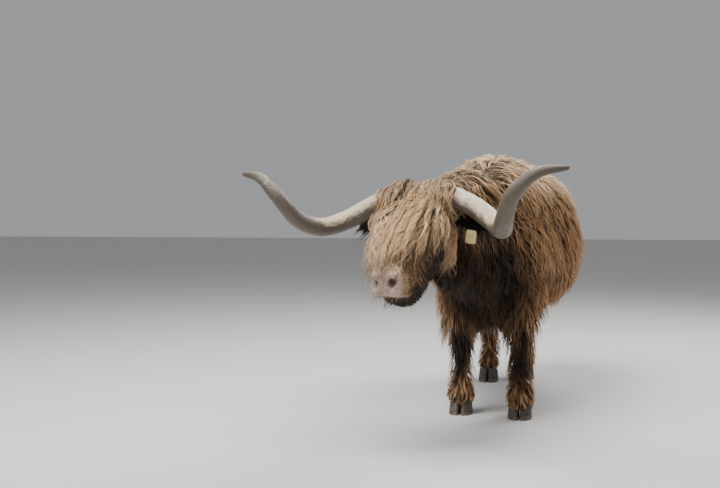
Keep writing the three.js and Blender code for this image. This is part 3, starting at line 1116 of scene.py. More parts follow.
@dataclass
class Tufts:
    """Tufts as paths from root to tip, with what their mesh needs."""

    paths: Array
    roots: Roots
    widths: Array
    tone: Array
    flat: float = 0.42

    def part(self, chosen: Array) -> Tufts:
        """Keeps the chosen tufts."""
        return Tufts(
            self.paths[chosen], self.roots.some(chosen), self.widths[chosen], self.tone[chosen], self.flat
        )

    def cross_sections(self) -> Array:
        """Lays three corners round each place but the tip, flat against the body.

        Returns:
            The corners, by tuft, place and corner.
        """
        ahead = unit(np.gradient(self.paths, axis=1))
        across = unit(np.cross(ahead, self.roots.normals[:, None, :]) + 1e-6)
        out = np.cross(across, ahead)
        share = np.linspace(0, 1, self.paths.shape[1])[None, :-1, None]
        swell = 0.62 + 0.38 * np.sin(np.pi * np.minimum(share * 1.25 + 0.1, 1.0))
        half = self.widths[:, None, None] / 2 * swell * np.sqrt(1 - share**2.4)
        corners = []
        for turn in (90, 210, 330):
            angle = math.radians(turn)
            way = math.cos(angle) * across + math.sin(angle) * self.flat * out
            corners.append(self.paths[:, :-1] + way[:, :-1] * half)
        return np.stack(corners, axis=2)

    def mesh(self, name: str) -> Mesh:
        """Makes one mesh of all the tufts.

        Args:
            name: The mesh's name.

        Returns:
            The mesh, with the bake map and the attributes along, tone and root.
        """
        count, places, _ = self.paths.shape
        rings = places - 1
        size = rings * 3 + 1
        rows = self.cross_sections().reshape(count, rings * 3, 3)
        points = np.concatenate([rows, self.paths[:, -1:, :]], axis=1).reshape(-1, 3)
        ring, side = np.meshgrid(np.arange(rings - 1), np.arange(3), indexing="ij")
        ring, side = ring.ravel(), side.ravel()
        after = (side + 1) % 3
        low, high = ring * 3, ring * 3 + 3
        quads = np.stack([low + side, low + after, high + after, high + side], 1)
        end = (rings - 1) * 3
        tips = [[end + turn, end + (turn + 1) % 3, size - 1] for turn in range(3)]
        caps = np.array([*tips, [2, 1, 0]])
        first = (np.arange(count) * size)[:, None, None]
        loops = [(faces[None] + first).reshape(count, -1) for faces in (quads, caps)]
        loops = np.concatenate(loops, 1)
        sizes = np.concatenate([np.full(len(quads), 4), np.full(len(caps), 3)])
        starts = np.concatenate([[0], np.cumsum(sizes)[:-1]])
        starts = (starts[None] + (np.arange(count) * sizes.sum())[:, None]).ravel()
        mesh = bpy.data.meshes.new(name)
        mesh.vertices.add(len(points))
        mesh.vertices.foreach_set("co", points.astype(np.float32).ravel())
        mesh.loops.add(loops.size)
        mesh.loops.foreach_set("vertex_index", loops.astype(np.int32).ravel())
        mesh.polygons.add(len(starts))
        mesh.polygons.foreach_set("loop_start", starts.astype(np.int32))
        mesh.update(calc_edges=True)
        along = np.append(np.repeat(np.arange(rings) / rings, 3), 1.0)
        add_values(mesh, "along", np.tile(along, count))
        add_values(mesh, "tone", np.repeat(self.tone, size))
        add_vectors(mesh, "root", np.repeat(self.roots.points, size, 0))
        across = np.append(np.tile([-1.0, 0.0, 1.0], rings), 0.0)
        patch = PATCH_HALF * np.stack([across, along * 2 - 1], 1)
        add_bake_map(mesh, (self.roots.unwrap[:, None] + patch[None]).reshape(-1, 2))
        return mesh


def steady(values: Array) -> Callable[[Array], Array]:
    """Makes a function of places that gives the same values everywhere."""
    return lambda places: values


@dataclass
class Comb:
    """Grows tufts over the skin: along its lie, under their own weight, in waving locks.

    It holds where they root, the way the coat lies at places, each tuft's length, how far each
    may stand off the skin at its place, and how they grow.
    """

    distance: Field
    seed: int
    roots: Roots
    lie: Callable[[Array], Array]
    length: Array
    height: Callable[[Array], Array]
    growth: Growth

    def grow(self) -> Tufts:
        """Grows a tuft from each root.

        Returns:
            The tufts.
        """
        growth, length = self.growth, self.length
        chance = np.random.default_rng(self.seed)
        count = len(length)
        layer = mixed(*growth.layers, chance.uniform(0, 1, (count, 1)) ** growth.crowding)
        paths = self.single_paths(layer)
        guide = self.nearest_guides(chance)
        share = np.linspace(0, 1, growth.rings + 1)
        reach = np.clip(length / length[guide] * chance.uniform(0.72, 1.08, count), 0.3, 1.0)
        place = share[None] * reach[:, None] * growth.rings
        lower = np.clip(place.astype(int), 0, growth.rings - 1)
        between = (place - lower)[..., None]
        rows = guide[:, None]
        followed = paths[rows, lower] * (1 - between) + paths[rows, lower + 1] * between
        hold = growth.clump * np.clip(chance.normal(1.0, growth.looseness, (count, 1, 1)), 0.3, 1.1)
        hold = np.clip(hold, 0, 0.97) * ease(0.0, growth.gather, share)[None, :, None]
        paths = mixed(paths, followed, hold)
        paths = self.cleared(paths + self.waves(paths, guide, chance))
        # Painted light and shade: outer tufts get lighter, deeper ones darker.
        depth = 0.7 * layer[guide, 0] + 0.3 * layer[:, 0] - 0.62
        tone = growth.tone + chance.normal(0, growth.tones, count)[guide] + chance.normal(0, 0.12, count)
        tone = np.clip(tone + growth.shade * depth, 0, 1)
        widths = growth.width * chance.uniform(0.75, 1.25, count)
        return Tufts(paths, self.roots, widths, tone, growth.flat)

    def single_paths(self, layer: Array) -> Array:
        """Follows the lie from each root, without locks or waves.

        Args:
            layer: How far out in the coat each tuft lies, from 0 to 1.

        Returns:
            The tufts' paths.
        """
        roots, growth = self.roots, self.growth
        place = roots.points - roots.normals * 0.004
        paths = [place]
        step = (self.length / growth.rings)[:, None]
        outwards = roots.normals
        for ring in range(growth.rings):
            share = (ring + 1) / growth.rings
            way = self.lie(place) + growth.ruffle * ripple(roots.points, 0.16, self.seed + 1)
            along = unit(way - dot(way, outwards) * outwards + 1e-5)
            rise = growth.lift * max(0.0, 1 - share * 2.6) * layer
            heading = unit(along - growth.gravity * share * UP + rise * outwards)
            place = place + heading * step
            away = self.distance.at(place)[:, None]
            outwards = self.distance.outwards(place)
            loft = self.height(place)[:, None] * layer * share**growth.rise
            low = growth.hold_off * loft + growth.clearance
            wanted = np.clip(away, low, np.maximum(loft, 0.004))
            free = np.clip(-outwards[:, 2:] * growth.gravity * 3.2 + growth.hang * share, 0, 1)
            wanted = mixed(wanted, np.maximum(away, 0.002), free)
            place = place + outwards * (wanted - away) * 0.85
            paths.append(place)
        return np.stack(paths, axis=1)

    def nearest_guides(self, chance: np.random.Generator) -> Array:
        """Chooses guides about a lock's width apart.

        Args:
            chance: What draws the random numbers.

        Returns:
            The number of the guide nearest to each root.
        """
        points = self.roots.points
        order = chance.permutation(len(points))
        cells = np.floor(points / self.growth.lock_gap + chance.uniform(0, 1, 3)).astype(int)
        _, first = np.unique(cells[order], axis=0, return_index=True)
        guides = order[first]
        tree = KDTree(len(guides))
        for number, guide in enumerate(guides):
            tree.insert(points[guide], number)
        tree.balance()
        nearest = [tree.find(point)[1] for point in points]
        return guides[np.array(nearest)]

    def waves(self, paths: Array, guide: Array, chance: np.random.Generator) -> Array:
        """Works out how each lock swings from side to side along its length.

        Args:
            paths: The tufts' paths.
            guide: The number of each tuft's guide.
            chance: What draws the random numbers.

        Returns:
            How far each place moves.
        """
        growth, length = self.growth, self.length
        count, places, _ = paths.shape
        ahead = unit(np.gradient(paths, axis=1))
        across = unit(np.cross(ahead, self.roots.normals[:, None, :]) + 1e-6)
        out = np.cross(across, ahead)
        share = np.linspace(0, 1, places)[None, :]
        phase = chance.uniform(0, 2 * math.pi, count)[guide]
        pitch = growth.wavelength * chance.uniform(0.75, 1.35, count)[guide]
        size = growth.wave * chance.uniform(0.5, 1.5, count)[guide] * np.clip(length / 0.12, 0.2, 1.4)
        turn = 2 * math.pi * share * (length / pitch)[:, None] + phase[:, None]
        grown = ease(0.0, 0.45, share)
        swing = (np.sin(turn) - np.sin(phase[:, None]) * (1 - share)) * grown * size[:, None]
        bob = np.cos(turn) * grown * size[:, None] * 0.4
        loose = chance.normal(0, 1, (count, 1, 3)) * growth.stray * length[:, None, None]
        loose = loose * 0.35 * share[..., None] ** 2
        return swing[..., None] * across + bob[..., None] * out + loose

    def cleared(self, paths: Array) -> Array:
        """Lifts places that are in the skin, all but the roots, just out of it.

        Args:
            paths: The tufts' paths.

        Returns:
            The cleared paths.
        """
        count, places, _ = paths.shape
        clearance = self.growth.clearance
        flat = paths[:, 1:].reshape(-1, 3)
        away = self.distance.at(flat)
        low = away < clearance
        moved = flat.copy()
        moved[low] += self.distance.outwards(flat[low]) * (clearance - away[low])[:, None]
        moved[:, 2] = np.maximum(moved[:, 2], 0.01)
        return np.concatenate([paths[:, :1], moved.reshape(count, places - 1, 3)], axis=1)


# ---- Finishes ----


@dataclass
class Wiring:
    """Adds nodes to a tree and joins them."""

    tree: NodeTree

    def add(self, kind: str, inputs: dict | None = None, **settings: object) -> Node:
        """Adds a node.

        Args:
            kind: Its type, in full or without the leading "ShaderNode".
            inputs: What each socket, by name or number, holds or is joined to.
            **settings: The node's own settings.

        Returns:
            The node.
        """
        full = kind if kind.startswith(("GeometryNode", "FunctionNode")) else f"ShaderNode{kind}"
        node = self.tree.nodes.new(full)
        for name, value in settings.items():
            setattr(node, name, value)
        self.fill(node, inputs or {})
        return node

    def fill(self, node: Node, inputs: dict) -> None:
        """Gives a node's sockets, by name or number, their values or joins them to others.

        Args:
            node: The node.
            inputs: Values or sockets, by input.
        """
        for name, value in inputs.items():
            if isinstance(value, NodeSocket):
                self.tree.links.new(value, node.inputs[name])
            else:
                node.inputs[name].default_value = value

    def place(self) -> NodeSocket:
        """Gives the place on the piece."""
        return self.add("TexCoord").outputs["Object"]

    def times(self, a: object, b: object) -> NodeSocket:
        """Multiplies two values."""
        return self.sum("MULTIPLY", a, b)

    def plus(self, a: object, b: object) -> NodeSocket:
        """Adds two values."""
        return self.sum("ADD", a, b)

    def sum(self, kind: str, *terms: object) -> NodeSocket:
        """Works out a value by a Math node, such as "ADD" or "POWER"."""
        return self.add("Math", dict(enumerate(terms)), operation=kind).outputs[0]

    def range(self, value: object, low: float, high: float, a: float, b: float) -> object:
        """Turns a value that runs from low to high into one from a to b, smoothly."""
        ends = {"Value": value, "From Min": low, "From Max": high, "To Min": a, "To Max": b}
        return self.add("MapRange", ends, interpolation_type="SMOOTHSTEP").outputs[0]

    def mix(self, share: object, a: object, b: object, kind: str = "MIX") -> object:
        """Mixes two colours. Plain ones have three numbers."""
        a, b = ((*c, 1.0) if isinstance(c, tuple) else c for c in (a, b))
        ends = {0: share, 6: a, 7: b}
        return self.add("Mix", ends, data_type="RGBA", blend_type=kind).outputs[2]

    def noise(self, place: object, scale: float, detail: float = 3.0) -> object:
        """Gives smooth noise between 0 and 1."""
        ends = {"Vector": place, "Scale": scale, "Detail": detail}
        return self.add("TexNoise", ends).outputs["Fac"]

    def stretched(self, place: object, *scale: float) -> object:
        """Scales a place by its own number along each axis."""
        return self.add("Mapping", {"Vector": place, "Scale": scale}).outputs[0]

    def attribute(self, name: str, kind: str = "Fac") -> object:
        """Reads one of the piece's own attributes."""
        return self.add("Attribute", attribute_name=name).outputs[kind]

    def bump(self, height: object, distance: float, strength: float = 1.0) -> object:
        """Makes a normal from a height."""
        ends = {"Height": height, "Distance": distance, "Strength": strength}
        return self.add("Bump", ends).outputs[0]

    def group(self, tree: NodeTree, **inputs: object) -> NodeSocket:
        """Places a node group, with its inputs by name, and gives its first output."""
        return self.add("Group", inputs, node_tree=tree).outputs[0]


def new_material(name: str) -> tuple[Material, Wiring, Node]:
    """Makes a material with only its Principled shader.

    Args:
        name: The material's name.

    Returns:
        The material, the wire of its tree, and the shader.
    """
    material = bpy.data.materials.new(name)
    material.use_nodes = True
    return material, Wiring(material.node_tree), material.node_tree.nodes["Principled BSDF"]


def new_tree(
    name: str, kind: str, inputs: dict[str, str], output: tuple[str, str]
) -> tuple[Wiring, Node, Node]:
    """Makes a node tree with its sockets.

    Args:
        name: The tree's name.
        kind: What it is for, "Shader" or "Geometry".
        inputs: Socket names and their kinds, such as "Float".
        output: The same for its only output.

    Returns:
        The wiring of the tree, its input node and its output node.
    """
    tree = bpy.data.node_groups.new(name, f"{kind}NodeTree")
    for way, sockets in (("INPUT", inputs.items()), ("OUTPUT", [output])):
        for label, sort in sockets:
            tree.interface.new_socket(label, in_out=way, socket_type=f"NodeSocket{sort}")
    return Wiring(tree), tree.nodes.new("NodeGroupInput"), tree.nodes.new("NodeGroupOutput")


@dataclass(frozen=True)
class SoftSpot:
    """A soft-edged patch of the coat's colouring, used for the pale patches and for the patches of painted
    shade: where it is, and its half sizes.
    """

    place: Triple
    half: Triple

    @classmethod
    def on_face(cls, place: Triple, half: Triple) -> SoftSpot:
        """Makes a patch whose place is in the face's axes."""
        return cls(tuple(HEAD.from_face(place)), half)

    def share(self, wire: Wiring, at: object) -> object:
        """Gives 1 in the patch's middle and 0 outside it.

        Args:
            wire: The tree's wiring.
            at: The socket with the place.

        Returns:
            The socket with the share.
        """
        offset = wire.add("VectorMath", {0: at, 1: self.place}, operation="SUBTRACT")
        scaled = wire.add("VectorMath", {0: offset.outputs[0], 1: self.half}, operation="DIVIDE")
        reach = wire.add("VectorMath", {0: scaled.outputs[0]}, operation="LENGTH")
        return wire.range(reach.outputs["Value"], 0.45, 1.1, 1.0, 0.0)


@dataclass(frozen=True)
class CoatFinish:
    """The coat's colours: dun-ginger, pale on top, sun-bleached and partly painted light, with painted
    shade beneath, at the roots and deep in the coat.
    """

    ginger: Colour = (0.32, 0.17, 0.078)
    pale: Colour = (0.64, 0.45, 0.27)
    # dark: the near-black of the painted shade patches.
    dark: Colour = (0.011, 0.0065, 0.0045)
    roughness: float = 0.62

    def painted_shade_spots(self) -> list[SoftSpot]:
        """Lists the patches of painted shade: chest, throat, jaw, belly, ears, cheeks and fore legs'
        fronts, where the shins' hair is darker as well.

        Returns:
            The patches.
        """
        x, y = PLACE.middle_x, PLACE.shoulder_y
        spots = [
            SoftSpot((x - 0.03, y - 0.3, 0.58), (0.31, 0.42, 0.38)),
            SoftSpot((x - 0.12, y - 0.52, 0.74), (0.3, 0.36, 0.2)),
            SoftSpot.on_face((0.0, -0.16, -0.3), (0.2, 0.26, 0.17)),
            SoftSpot.on_face((0.0, -0.375, -0.215), (0.13, 0.17, 0.085)),
            SoftSpot((x, y + 0.4, 0.34), (0.3, 0.7, 0.1)),
        ]
        for side, sign in SIDES.items():
            spots.append(SoftSpot(tuple(node_middle(f"ear_{side}")), (0.15, 0.13, 0.11)))
            spots.append(SoftSpot.on_face((0.105 * sign, -0.27, -0.185), (0.085, 0.13, 0.1)))
        for leg in LEGS[:2]:
            foot = foot_middle(leg)
            spots.append(SoftSpot((foot[0], foot[1] - 0.05, 0.3), (0.05, 0.1, 0.2)))
        return spots

    def bleached_and_lit_spots(self) -> list[SoftSpot]:
        """Lists the pale patches, sun-bleached and partly painted light from above: back, rump, crest of
        the neck, forelock and muzzle.

        Returns:
            The patches.
        """
        x, y = PLACE.middle_x, PLACE.shoulder_y
        return [
            SoftSpot((x, y + 0.3, PLACE.top_z), (0.36, 0.9, 0.26)),
            SoftSpot((x, y + 0.95, PLACE.top_z - 0.1), (0.46, 0.5, 0.42)),
            SoftSpot((x - 0.1, y - 0.4, PLACE.top_z - 0.02), (0.24, 0.45, 0.16)),
            SoftSpot.on_face((0.0, -0.1, 0.06), (0.22, 0.26, 0.2)),
            SoftSpot.on_face((0.0, -0.44, -0.06), (0.1, 0.075, 0.08)),
        ]

    def colour_group(self) -> NodeTree:
        """Makes the group that colours skin and coat alike, by place, share of length and tone, with
        painted light on top and painted shade beneath and towards the roots.

        Returns:
            The group.
        """
        inputs = {"Place": "Vector", "Along": "Float", "Tone": "Float"}
        wire, given, result = new_tree("coat_colour", "Shader", inputs, ("Colour", "Color"))
        place, along, tone = (given.outputs[i] for i in range(3))
        drift = wire.times(wire.sum("SUBTRACT", wire.noise(place, 3.2), 0.5), 1.1)

        def strongest(spots: list[SoftSpot]) -> object:
            """Gives the largest share of the spots, with a drifting edge."""
            total = spots[0].share(wire, place)
            for spot in spots[1:]:
                total = wire.sum("MAXIMUM", total, spot.share(wire, place))
            shifted = wire.plus(total, wire.times(drift, total))
            return wire.range(shifted, 0.05, 0.95, 0.0, 1.0)

        # Sun bleaching, and painted light on the top of body and head.
        bleached_and_lit = wire.times(strongest(self.bleached_and_lit_spots()), 0.85)
        base = wire.mix(bleached_and_lit, self.ginger, self.pale)
        tip = wire.range(along, 0.25, 1.0, 0.0, 0.45)
        base = wire.mix(tip, base, wire.mix(0.5, base, self.pale))
        # Painted shade: these patches pull the colour towards near-black.
        base = wire.mix(wire.times(strongest(self.painted_shade_spots()), 0.93), base, self.dark)
        # Painted shade: each lock darkens towards its root, deep in the coat.
        root = wire.range(along, 0.0, 0.7, 0.22, 1.0)
        # The tone brings each tuft's own random tone, and its painted light and shade by how far out it
        # lies.
        lightness = wire.times(root, wire.range(tone, 0.0, 1.0, 0.22, 1.65))
        shade = wire.add("CombineColor", {0: lightness, 1: lightness, 2: lightness}).outputs[0]
        wire.fill(result, {"Colour": wire.mix(1.0, base, shade, "MULTIPLY")})
        return wire.tree

    def hair(self, colours: NodeTree) -> Material:
        """Makes the material of the tufts, which carry their roots' places.

        Args:
            colours: The coat's colour group.

        Returns:
            The material.
        """
        material, wire, shader = new_material("coat_hair")
        colour = wire.group(
            colours,
            Place=wire.attribute("root", "Vector"),
            Along=wire.attribute("along"),
            Tone=wire.attribute("tone"),
        )
        wire.fill(shader, {
            "Base Color": colour, "Roughness": self.roughness, "Specular IOR Level": 0.16,
            "Sheen Weight": 0.04, "Sheen Roughness": 0.5,
        })
        return material


@dataclass(frozen=True)
class SkinFinish:
    """The skin: short hair in the coat's colours, bare and moist at the nose and the udder, with painted
    shade in its hollows.
    """

    bare: Colour = (0.5, 0.365, 0.29)
    blotch: Colour = (0.3, 0.19, 0.15)
    # inside: the near-black of the painted shade in the nostrils, along the mouth and round the eyes.
    inside: Colour = (0.01, 0.005, 0.004)

    def material(self, colours: NodeTree) -> Material:
        """Makes the skin's material, which reads its masks from the skin's attributes.

        Args:
            colours: The coat's colour group.

        Returns:
            The material.
        """
        material, wire, shader = new_material("skin")
        place = wire.place()
        hairs = wire.noise(wire.stretched(place, 300.0, 300.0, 70.0), 1.0, 2.0)
        # The skin is coloured like the hair's roots, so it carries their painted shade, less of it where
        # the head's hair is short.
        along = wire.range(wire.attribute("short"), 0.0, 1.0, 0.22, 0.45)
        furred = wire.group(colours, Place=place, Along=along, Tone=hairs)
        blotches = wire.range(wire.noise(place, 46.0, 4.0), 0.42, 0.66, 0.0, 0.75)
        bare = wire.mix(blotches, self.bare, self.blotch)
        # Painted shade darkens the hollows.
        bare = wire.mix(wire.attribute("hollow"), bare, self.inside)
        on_bare = wire.attribute("bare")
        pebbles = wire.add("TexVoronoi", {"Vector": place, "Scale": 330.0}).outputs["Distance"]
        relief = wire.times(on_bare, pebbles)
        relief = wire.plus(relief, wire.times(hairs, 0.6))
        wire.fill(shader, {
            "Base Color": wire.mix(on_bare, furred, bare),
            "Roughness": wire.range(on_bare, 0.0, 1.0, 0.85, 0.42),
            "Normal": wire.bump(relief, 0.0016, 0.8),
            "Specular IOR Level": 0.4,
        })
        return material


@dataclass(frozen=True)
class HornFinish:
    """Cream horn, mottled, greyed beneath by painted shade and past the bend partly by painted shade, with
    lengthwise lines and dark tips.
    """

    cream: Colour = (0.64, 0.53, 0.375)
    honey: Colour = (0.48, 0.35, 0.2)
    grey: Colour = (0.064, 0.05, 0.039)
    tip: Colour = (0.085, 0.058, 0.04)

    def material(self) -> Material:
        """Makes the horns' material, which reads the share of length and the way round.

        Returns:
            The material.
        """
        material, wire, shader = new_material("horn")
        along, under = wire.attribute("along"), wire.attribute("under")
        place = wire.place()
        grain = wire.attribute("grain", "Vector")
        streaks = wire.noise(wire.stretched(grain, 26.0, 26.0, 5.0), 1.0, 5.0)
        mottle = wire.noise(wire.stretched(grain, 3.0, 3.0, 7.0), 1.0, 6.0)
        patches = wire.noise(place, 17.0, 4.0)
        colour = wire.mix(wire.range(patches, 0.4, 0.68, 0.0, 0.75), self.cream, self.honey)
        # Darker past the bend, partly painted shade.
        bend = wire.range(along, 0.38, 0.56, 0.0, 0.36)
        # Painted shade greys the underside; the mottling is the horn's own.
        painted_shade_and_mottle = wire.plus(wire.times(under, 0.8), wire.times(mottle, 0.62))
        painted_shade_and_mottle = wire.plus(painted_shade_and_mottle, bend)
        colour = wire.mix(wire.range(painted_shade_and_mottle, 0.44, 0.76, 0.0, 0.9), colour, self.grey)
        colour = wire.mix(wire.range(streaks, 0.4, 0.68, 0.0, 0.5), colour, self.grey)
        uneven = wire.times(wire.sum("SUBTRACT", mottle, 0.5), 0.25)
        dark_tip = wire.plus(along, uneven)
        colour = wire.mix(wire.range(dark_tip, 0.84, 1.0, 0.0, 0.8), colour, self.tip)
        rough = wire.range(wire.noise(place, 60.0), 0.3, 0.7, 0.3, 0.5)
        relief = wire.plus(streaks, wire.times(wire.noise(place, 420.0), 0.3))
        normal = wire.bump(relief, 0.002, 0.8)
        wire.fill(shader, {"Base Color": colour, "Roughness": rough, "Normal": normal})
        return material


@dataclass(frozen=True)
class HoofFinish:
    """Dull dark hoof horn with growth lines and dried mud by the sole."""

    horn: Colour = (0.045, 0.034, 0.027)
    worn: Colour = (0.15, 0.115, 0.085)
    mud: Colour = (0.19, 0.14, 0.095)

    def material(self) -> Material:
        """Makes the hooves' material.

        Returns:
            The material.
        """
        material, wire, shader = new_material("hoof")
        place = wire.place()
        lines = wire.noise(wire.stretched(place, 12.0, 12.0, 260.0), 1.0, 3.0)
        colour = wire.mix(wire.range(lines, 0.4, 0.7, 0.0, 0.8), self.horn, self.worn)
        height = wire.add("SeparateXYZ", {0: place}).outputs["Z"]
        low = wire.times(wire.range(height, 0.0, 0.035, 1.0, 0.0), wire.noise(place, 55.0))
        colour = wire.mix(wire.range(low, 0.28, 0.6, 0.0, 0.8), colour, self.mud)
        normal = wire.bump(lines, 0.0015, 0.8)
        wire.fill(shader, {"Base Color": colour, "Roughness": 0.6, "Normal": normal})
        return material


@dataclass(frozen=True)
class EyeFinish:
    """A wet, dark brown eye with a long level pupil."""

    iris: Colour = (0.06, 0.026, 0.01)
    rim: Colour = (0.018, 0.01, 0.007)
    white: Colour = (0.42, 0.33, 0.28)
    pupil: Colour = (0.004, 0.003, 0.003)

    def material(self) -> Material:
        """Makes the eyes' material, which reads the place across the eye.

        Returns:
            The material.
        """
        material, wire, shader = new_material("eye")
        across = wire.add("SeparateXYZ", {0: wire.attribute("gaze", "Vector")})

        def squares(half_x: float, half_y: float) -> NodeSocket:
            """Adds the squares of the place across the eye over an oval's half sizes."""
            parts = (("X", half_x), ("Y", half_y))
            ratios = [wire.sum("DIVIDE", across.outputs[axis], half) for axis, half in parts]
            return wire.plus(*(wire.sum("POWER", ratio, 2.0) for ratio in ratios))

        reach = wire.sum("SQRT", squares(1.0, 1.0))
        pupil = wire.range(squares(0.36, 0.2), 0.8, 1.1, 1.0, 0.0)
        fibres = wire.noise(wire.attribute("gaze", "Vector"), 14.0, 4.0)
        colour = wire.mix(wire.range(fibres, 0.3, 0.7, 0.0, 0.5), self.iris, self.rim)
        colour = wire.mix(wire.range(reach, 0.62, 0.78, 0.0, 1.0), colour, self.rim)
        colour = wire.mix(wire.range(reach, 0.82, 0.92, 0.0, 1.0), colour, self.white)
        wire.fill(shader, {
            "Base Color": wire.mix(pupil, colour, self.pupil), "Roughness": 0.08,
            "Coat Weight": 0.8, "Coat Roughness": 0.03,
        })
        return material


@dataclass(frozen=True)
class TagFinish:
    """Blank moulded yellow plastic, a little dusty and scuffed."""

    yellow: Colour = (0.56, 0.43, 0.18)
    dust: Colour = (0.42, 0.37, 0.27)

    def material(self) -> Material:
        """Makes the tag's material.

        Returns:
            The material.
        """
        material, wire, shader = new_material("tag")
        place = wire.place()
        scuffs = wire.noise(place, 90.0, 5.0)
        colour = wire.mix(wire.range(scuffs, 0.45, 0.75, 0.0, 0.6), self.yellow, self.dust)
        rough = wire.range(scuffs, 0.3, 0.7, 0.38, 0.6)
        normal = wire.bump(scuffs, 0.0004, 0.5)
        wire.fill(shader, {"Base Color": colour, "Roughness": rough, "Normal": normal})
        return material


@dataclass(frozen=True)
class FloorFinish:
    """A plain pale floor."""

    pale: Colour = (0.62, 0.61, 0.59)

    def material(self) -> Material:
        """Makes the floor's material.

        Returns:
            The material.
        """
        material, wire, shader = new_material("floor")
        darker = tuple(0.97 * value for value in self.pale)
        colour = wire.mix(wire.noise(wire.place(), 4.0, 2.0), self.pale, darker)
        wire.fill(shader, {"Base Color": colour, "Roughness": 0.9})
        return material


# ---- The coat's regions ----


@dataclass
class Pelt:
    """How long, how deep and which way the coat lies, all over the body."""

    skin: Skin

    def face_share(self, points: Array) -> Array:
        """Says how far points belong to the head rather than the neck."""
        x, y, z = HEAD.to_face(points).T
        front = ease(0.05, -0.06, y)
        return front * ease(0.24, 0.16, np.abs(x)) * ease(-0.42, -0.26, z - 0.3 * (y + 0.2))

    def legs_share(self, points: Array) -> Array:
        """Says how far points belong to any leg below the body."""
        return np.max([leg_share(points, leg, 0.17) for leg in LEGS], axis=0)

    def tail_share(self, points: Array) -> Array:
        """Says how far points belong to the tail where it hangs free."""
        off_trunk = ease(0.002, 0.02, self.skin.trunk.at(points))
        return off_trunk * ease(0.06, 0.04, self.skin.tail_core(points))

    def lie(self, points: Array) -> Array:
        """Gives the way the coat lies on body and legs: down, and back towards the tail.

        Args:
            points: Places in the frame.

        Returns:
            The ways, of any length.
        """
        side = (points[:, 0] - PLACE.middle_x) / 0.3
        legs = self.legs_share(points)
        back = mixed(0.85, 0.12, legs)
        front = ease(PLACE.shoulder_y - 0.1, PLACE.shoulder_y - 0.5, points[:, 1])
        back = back * (1 - 0.6 * front)
        return np.stack([0.35 * np.clip(side, -1, 1) * (1 - legs), back, -np.ones(len(points))], 1)

    @staticmethod
    def face_lie(points: Array) -> Array:
        """Gives the way the coat lies on the head: down the nose, and off the cheeks.

        Args:
            points: Places in the frame.

        Returns:
            The ways, of any length.
        """
        x, _, z = HEAD.to_face(points).T
        side = np.clip(x / 0.08, -1, 1)
        cheek = ease(-0.02, -0.12, z)
        way = np.stack([0.35 * side, mixed(-0.9, 0.25, cheek), mixed(-0.1, -1.0, cheek)], 1)
        return way @ HEAD.axes().T

    def length(self, points: Array, normals: Array) -> Array:
        """Gives the coat's length on body and legs.

        Args:
            points: Places in the frame.
            normals: The skin's outward ways there.

        Returns:
            The lengths.
        """
        _, y, z = points.T
        length = mixed(0.135, 0.175, ease(0.98, 0.8, z))
        length = mixed(length, 0.205, ease(0.72, 0.52, z))
        length = mixed(length, 0.155, ease(PLACE.rump_y - 0.35, PLACE.rump_y - 0.05, y))
        length = mixed(length, 0.11, ease(-0.35, -0.85, normals[:, 2]))
        on_leg = mixed(0.078, 0.13, ease(0.3, 0.6, z))
        on_leg = mixed(on_leg, 0.058, ease(0.19, 0.11, z))
        behind = ease(-0.2, 0.6, normals[:, 1]) * ease(0.08, 0.14, z)
        on_leg = on_leg * (1 + 0.9 * behind)
        length = mixed(length, on_leg, self.legs_share(points))
        return length * (1 + 0.14 * ripple(points, 0.5, 5)[:, 0])

    @staticmethod
    def face_length(points: Array) -> Array:
        """Gives the coat's length on the head.

        Args:
            points: Places in the frame.

        Returns:
            The lengths.
        """
        _, y, z = HEAD.to_face(points).T
        low = ease(-0.13, -0.21, z - 0.25 * (y + 0.2))
        length = mixed(0.036, 0.09, low)
        length = mixed(length, 0.011, ease(-0.31, -0.39, y))
        length = mixed(length, 0.04, ease(-0.16, -0.2, z) * ease(-0.44, -0.36, y))
        return mixed(length, 0.055, ease(-0.08, -0.01, y))

    def height(self, points: Array) -> Array:
        """Gives how far the coat may stand off the skin.

        Args:
            points: Places in the frame.

        Returns:
            The heights.
        """
        on_top = ease(0.9, 1.05, points[:, 2])
        legs = self.legs_share(points)
        height = self.skin.depth(points) * mixed(1.25 + 0.35 * on_top, 2.0, legs)
        return mixed(height, 0.016, legs * ease(0.2, 0.12, points[:, 2]))

    def bare(self, points: Array) -> Array:
        """Says where no hair grows: the nose, round the eyes and on the udder.

        Args:
            points: Places in the frame.

        Returns:
            Shares, 1 where it is bare.
        """
        face = Face()
        place = HEAD.to_face(points)
        back, lip = place[:, 1] + HEAD.nose, face.lip_height(place)
        nose = ease(0.032, 0.02, back) * ease(0.066, 0.054, np.abs(place[:, 0]))
        nose = np.maximum(nose, ease(0.014, 0.007, lip) * ease(0.05, 0.035, back))
        nose = nose * ease(-0.02, -0.008, lip)
        eyes = ease(1.9, 1.4, face.lids_reach(points)) * (face.eye_distance(points) < 0.045)
        mouth = ease(0.3, 0.6, face.mouth_share(place))
        bag = ease(1.15, 0.9, udder_reach(points))
        return np.max([nose, eyes, mouth, bag], axis=0)


